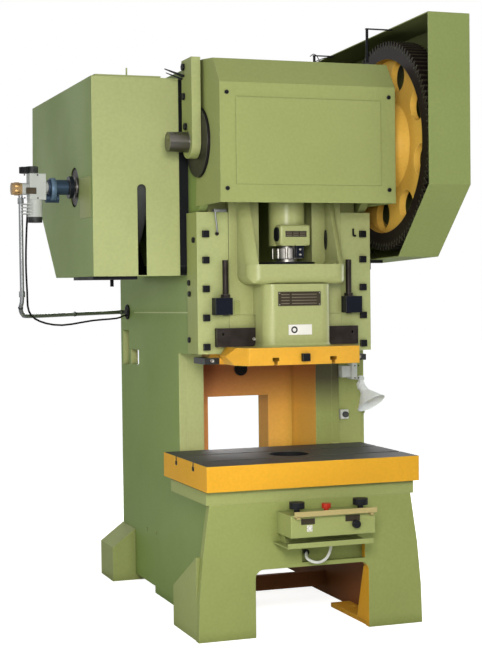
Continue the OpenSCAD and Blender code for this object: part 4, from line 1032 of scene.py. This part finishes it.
def surround():
    """Soft light from all round, and plain white where the camera, a gloss or a glass sees it."""
    world = bpy.data.worlds.new("studio")
    nodes = Nodes(world).emptied()
    camera_ray, glossy_ray, through_ray = [nodes.add("ShaderNodeLightPath", out=f"Is {kind} Ray")
                                           for kind in ("Camera", "Glossy", "Transmission")]
    soft = nodes.add("ShaderNodeBackground", None, {"Color": (.88, 1, .96, 1), "Strength": .26})
    white = nodes.add("ShaderNodeBackground", None, {"Color": (1, 1, 1, 1), "Strength": 1})
    shown = nodes.add("ShaderNodeMixShader", None,
                      {0: camera_ray | glossy_ray | through_ray, 1: soft, 2: white})
    nodes.add("ShaderNodeOutputWorld", None, {"Surface": shown})
    return world


clear()
bpy.ops.mesh.primitive_plane_add(size=60, location=(0, 0, 0))
floor = bpy.context.object
floor.name = "studio_floor"
floor.data.materials.append(backdrop_material())
scene = bpy.context.scene
scene.world = surround()


def softbox(name, place, towards, size, power, colour=(1, 1, 1), spread=180):
    lamp = bpy.data.lights.new(name, "AREA")
    lamp.shape, lamp.size, lamp.size_y = "RECTANGLE", size[0], size[1]
    lamp.energy, lamp.color, lamp.spread = power, colour, math.radians(spread)
    stand = bpy.data.objects.new(name, lamp)
    scene.collection.objects.link(stand)
    aim = (Vector(towards) - Vector(place)).to_track_quat("-Z", "Y")
    stand.matrix_world = Matrix.Translation(place) @ aim.to_matrix().to_4x4()


# name, place, what it shines at, width and height in metres, watts
softbox("key_box", (-1.95, -5.0, 2.5), (-.1, 0, 1.6), (1.4, 1.4), 160, (1, .985, .95))
softbox("low_left_box", (-2.7, -1.6, .6), (-.5, 0, .8), (1.0, 1.0), 12)
softbox("right_box", (3.2, -5.2, 2.4), (0, 0, 1.5), (2.5, 2.5), 20)
softbox("rear_box", (1.4, 5.6, 3.2), (0, .8, 1.5), (2.4, 2.4), 130)
softbox("right_side_box", (5.6, 1.6, 2.6), (.5, .4, 1.4), (2.4, 2.4), 90)
softbox("throat_box", (-2.3, -3.5, 1.1), (0, .4, 1.06), (.5, .5), .5, (1, .97, .9), 20)

CAMERA_PLACE = (-2.6521, -6.7124, 1.6505)
PAN, TILT, ROLL = .341155, -.025482, -.011696  # radians
ahead = Vector((math.sin(PAN) * math.cos(TILT), math.cos(PAN) * math.cos(TILT), math.sin(TILT)))
level = Vector((math.cos(PAN), -math.sin(PAN), 0))
upward = level.cross(ahead)
right = level * math.cos(ROLL) + upward * math.sin(ROLL)
up = upward * math.cos(ROLL) - level * math.sin(ROLL)
lens = bpy.data.cameras.new("studio_camera")
lens.sensor_fit, lens.sensor_height, lens.lens = "VERTICAL", 24, 53.83
lens.shift_x, lens.shift_y = .0079, -.0069
camera = bpy.data.objects.new("studio_camera", lens)
scene.collection.objects.link(camera)
camera.matrix_world = Matrix.Translation(CAMERA_PLACE) @ Matrix((right, up, -ahead)).transposed().to_4x4()
scene.camera = camera
scene.view_settings.view_transform = "Standard"
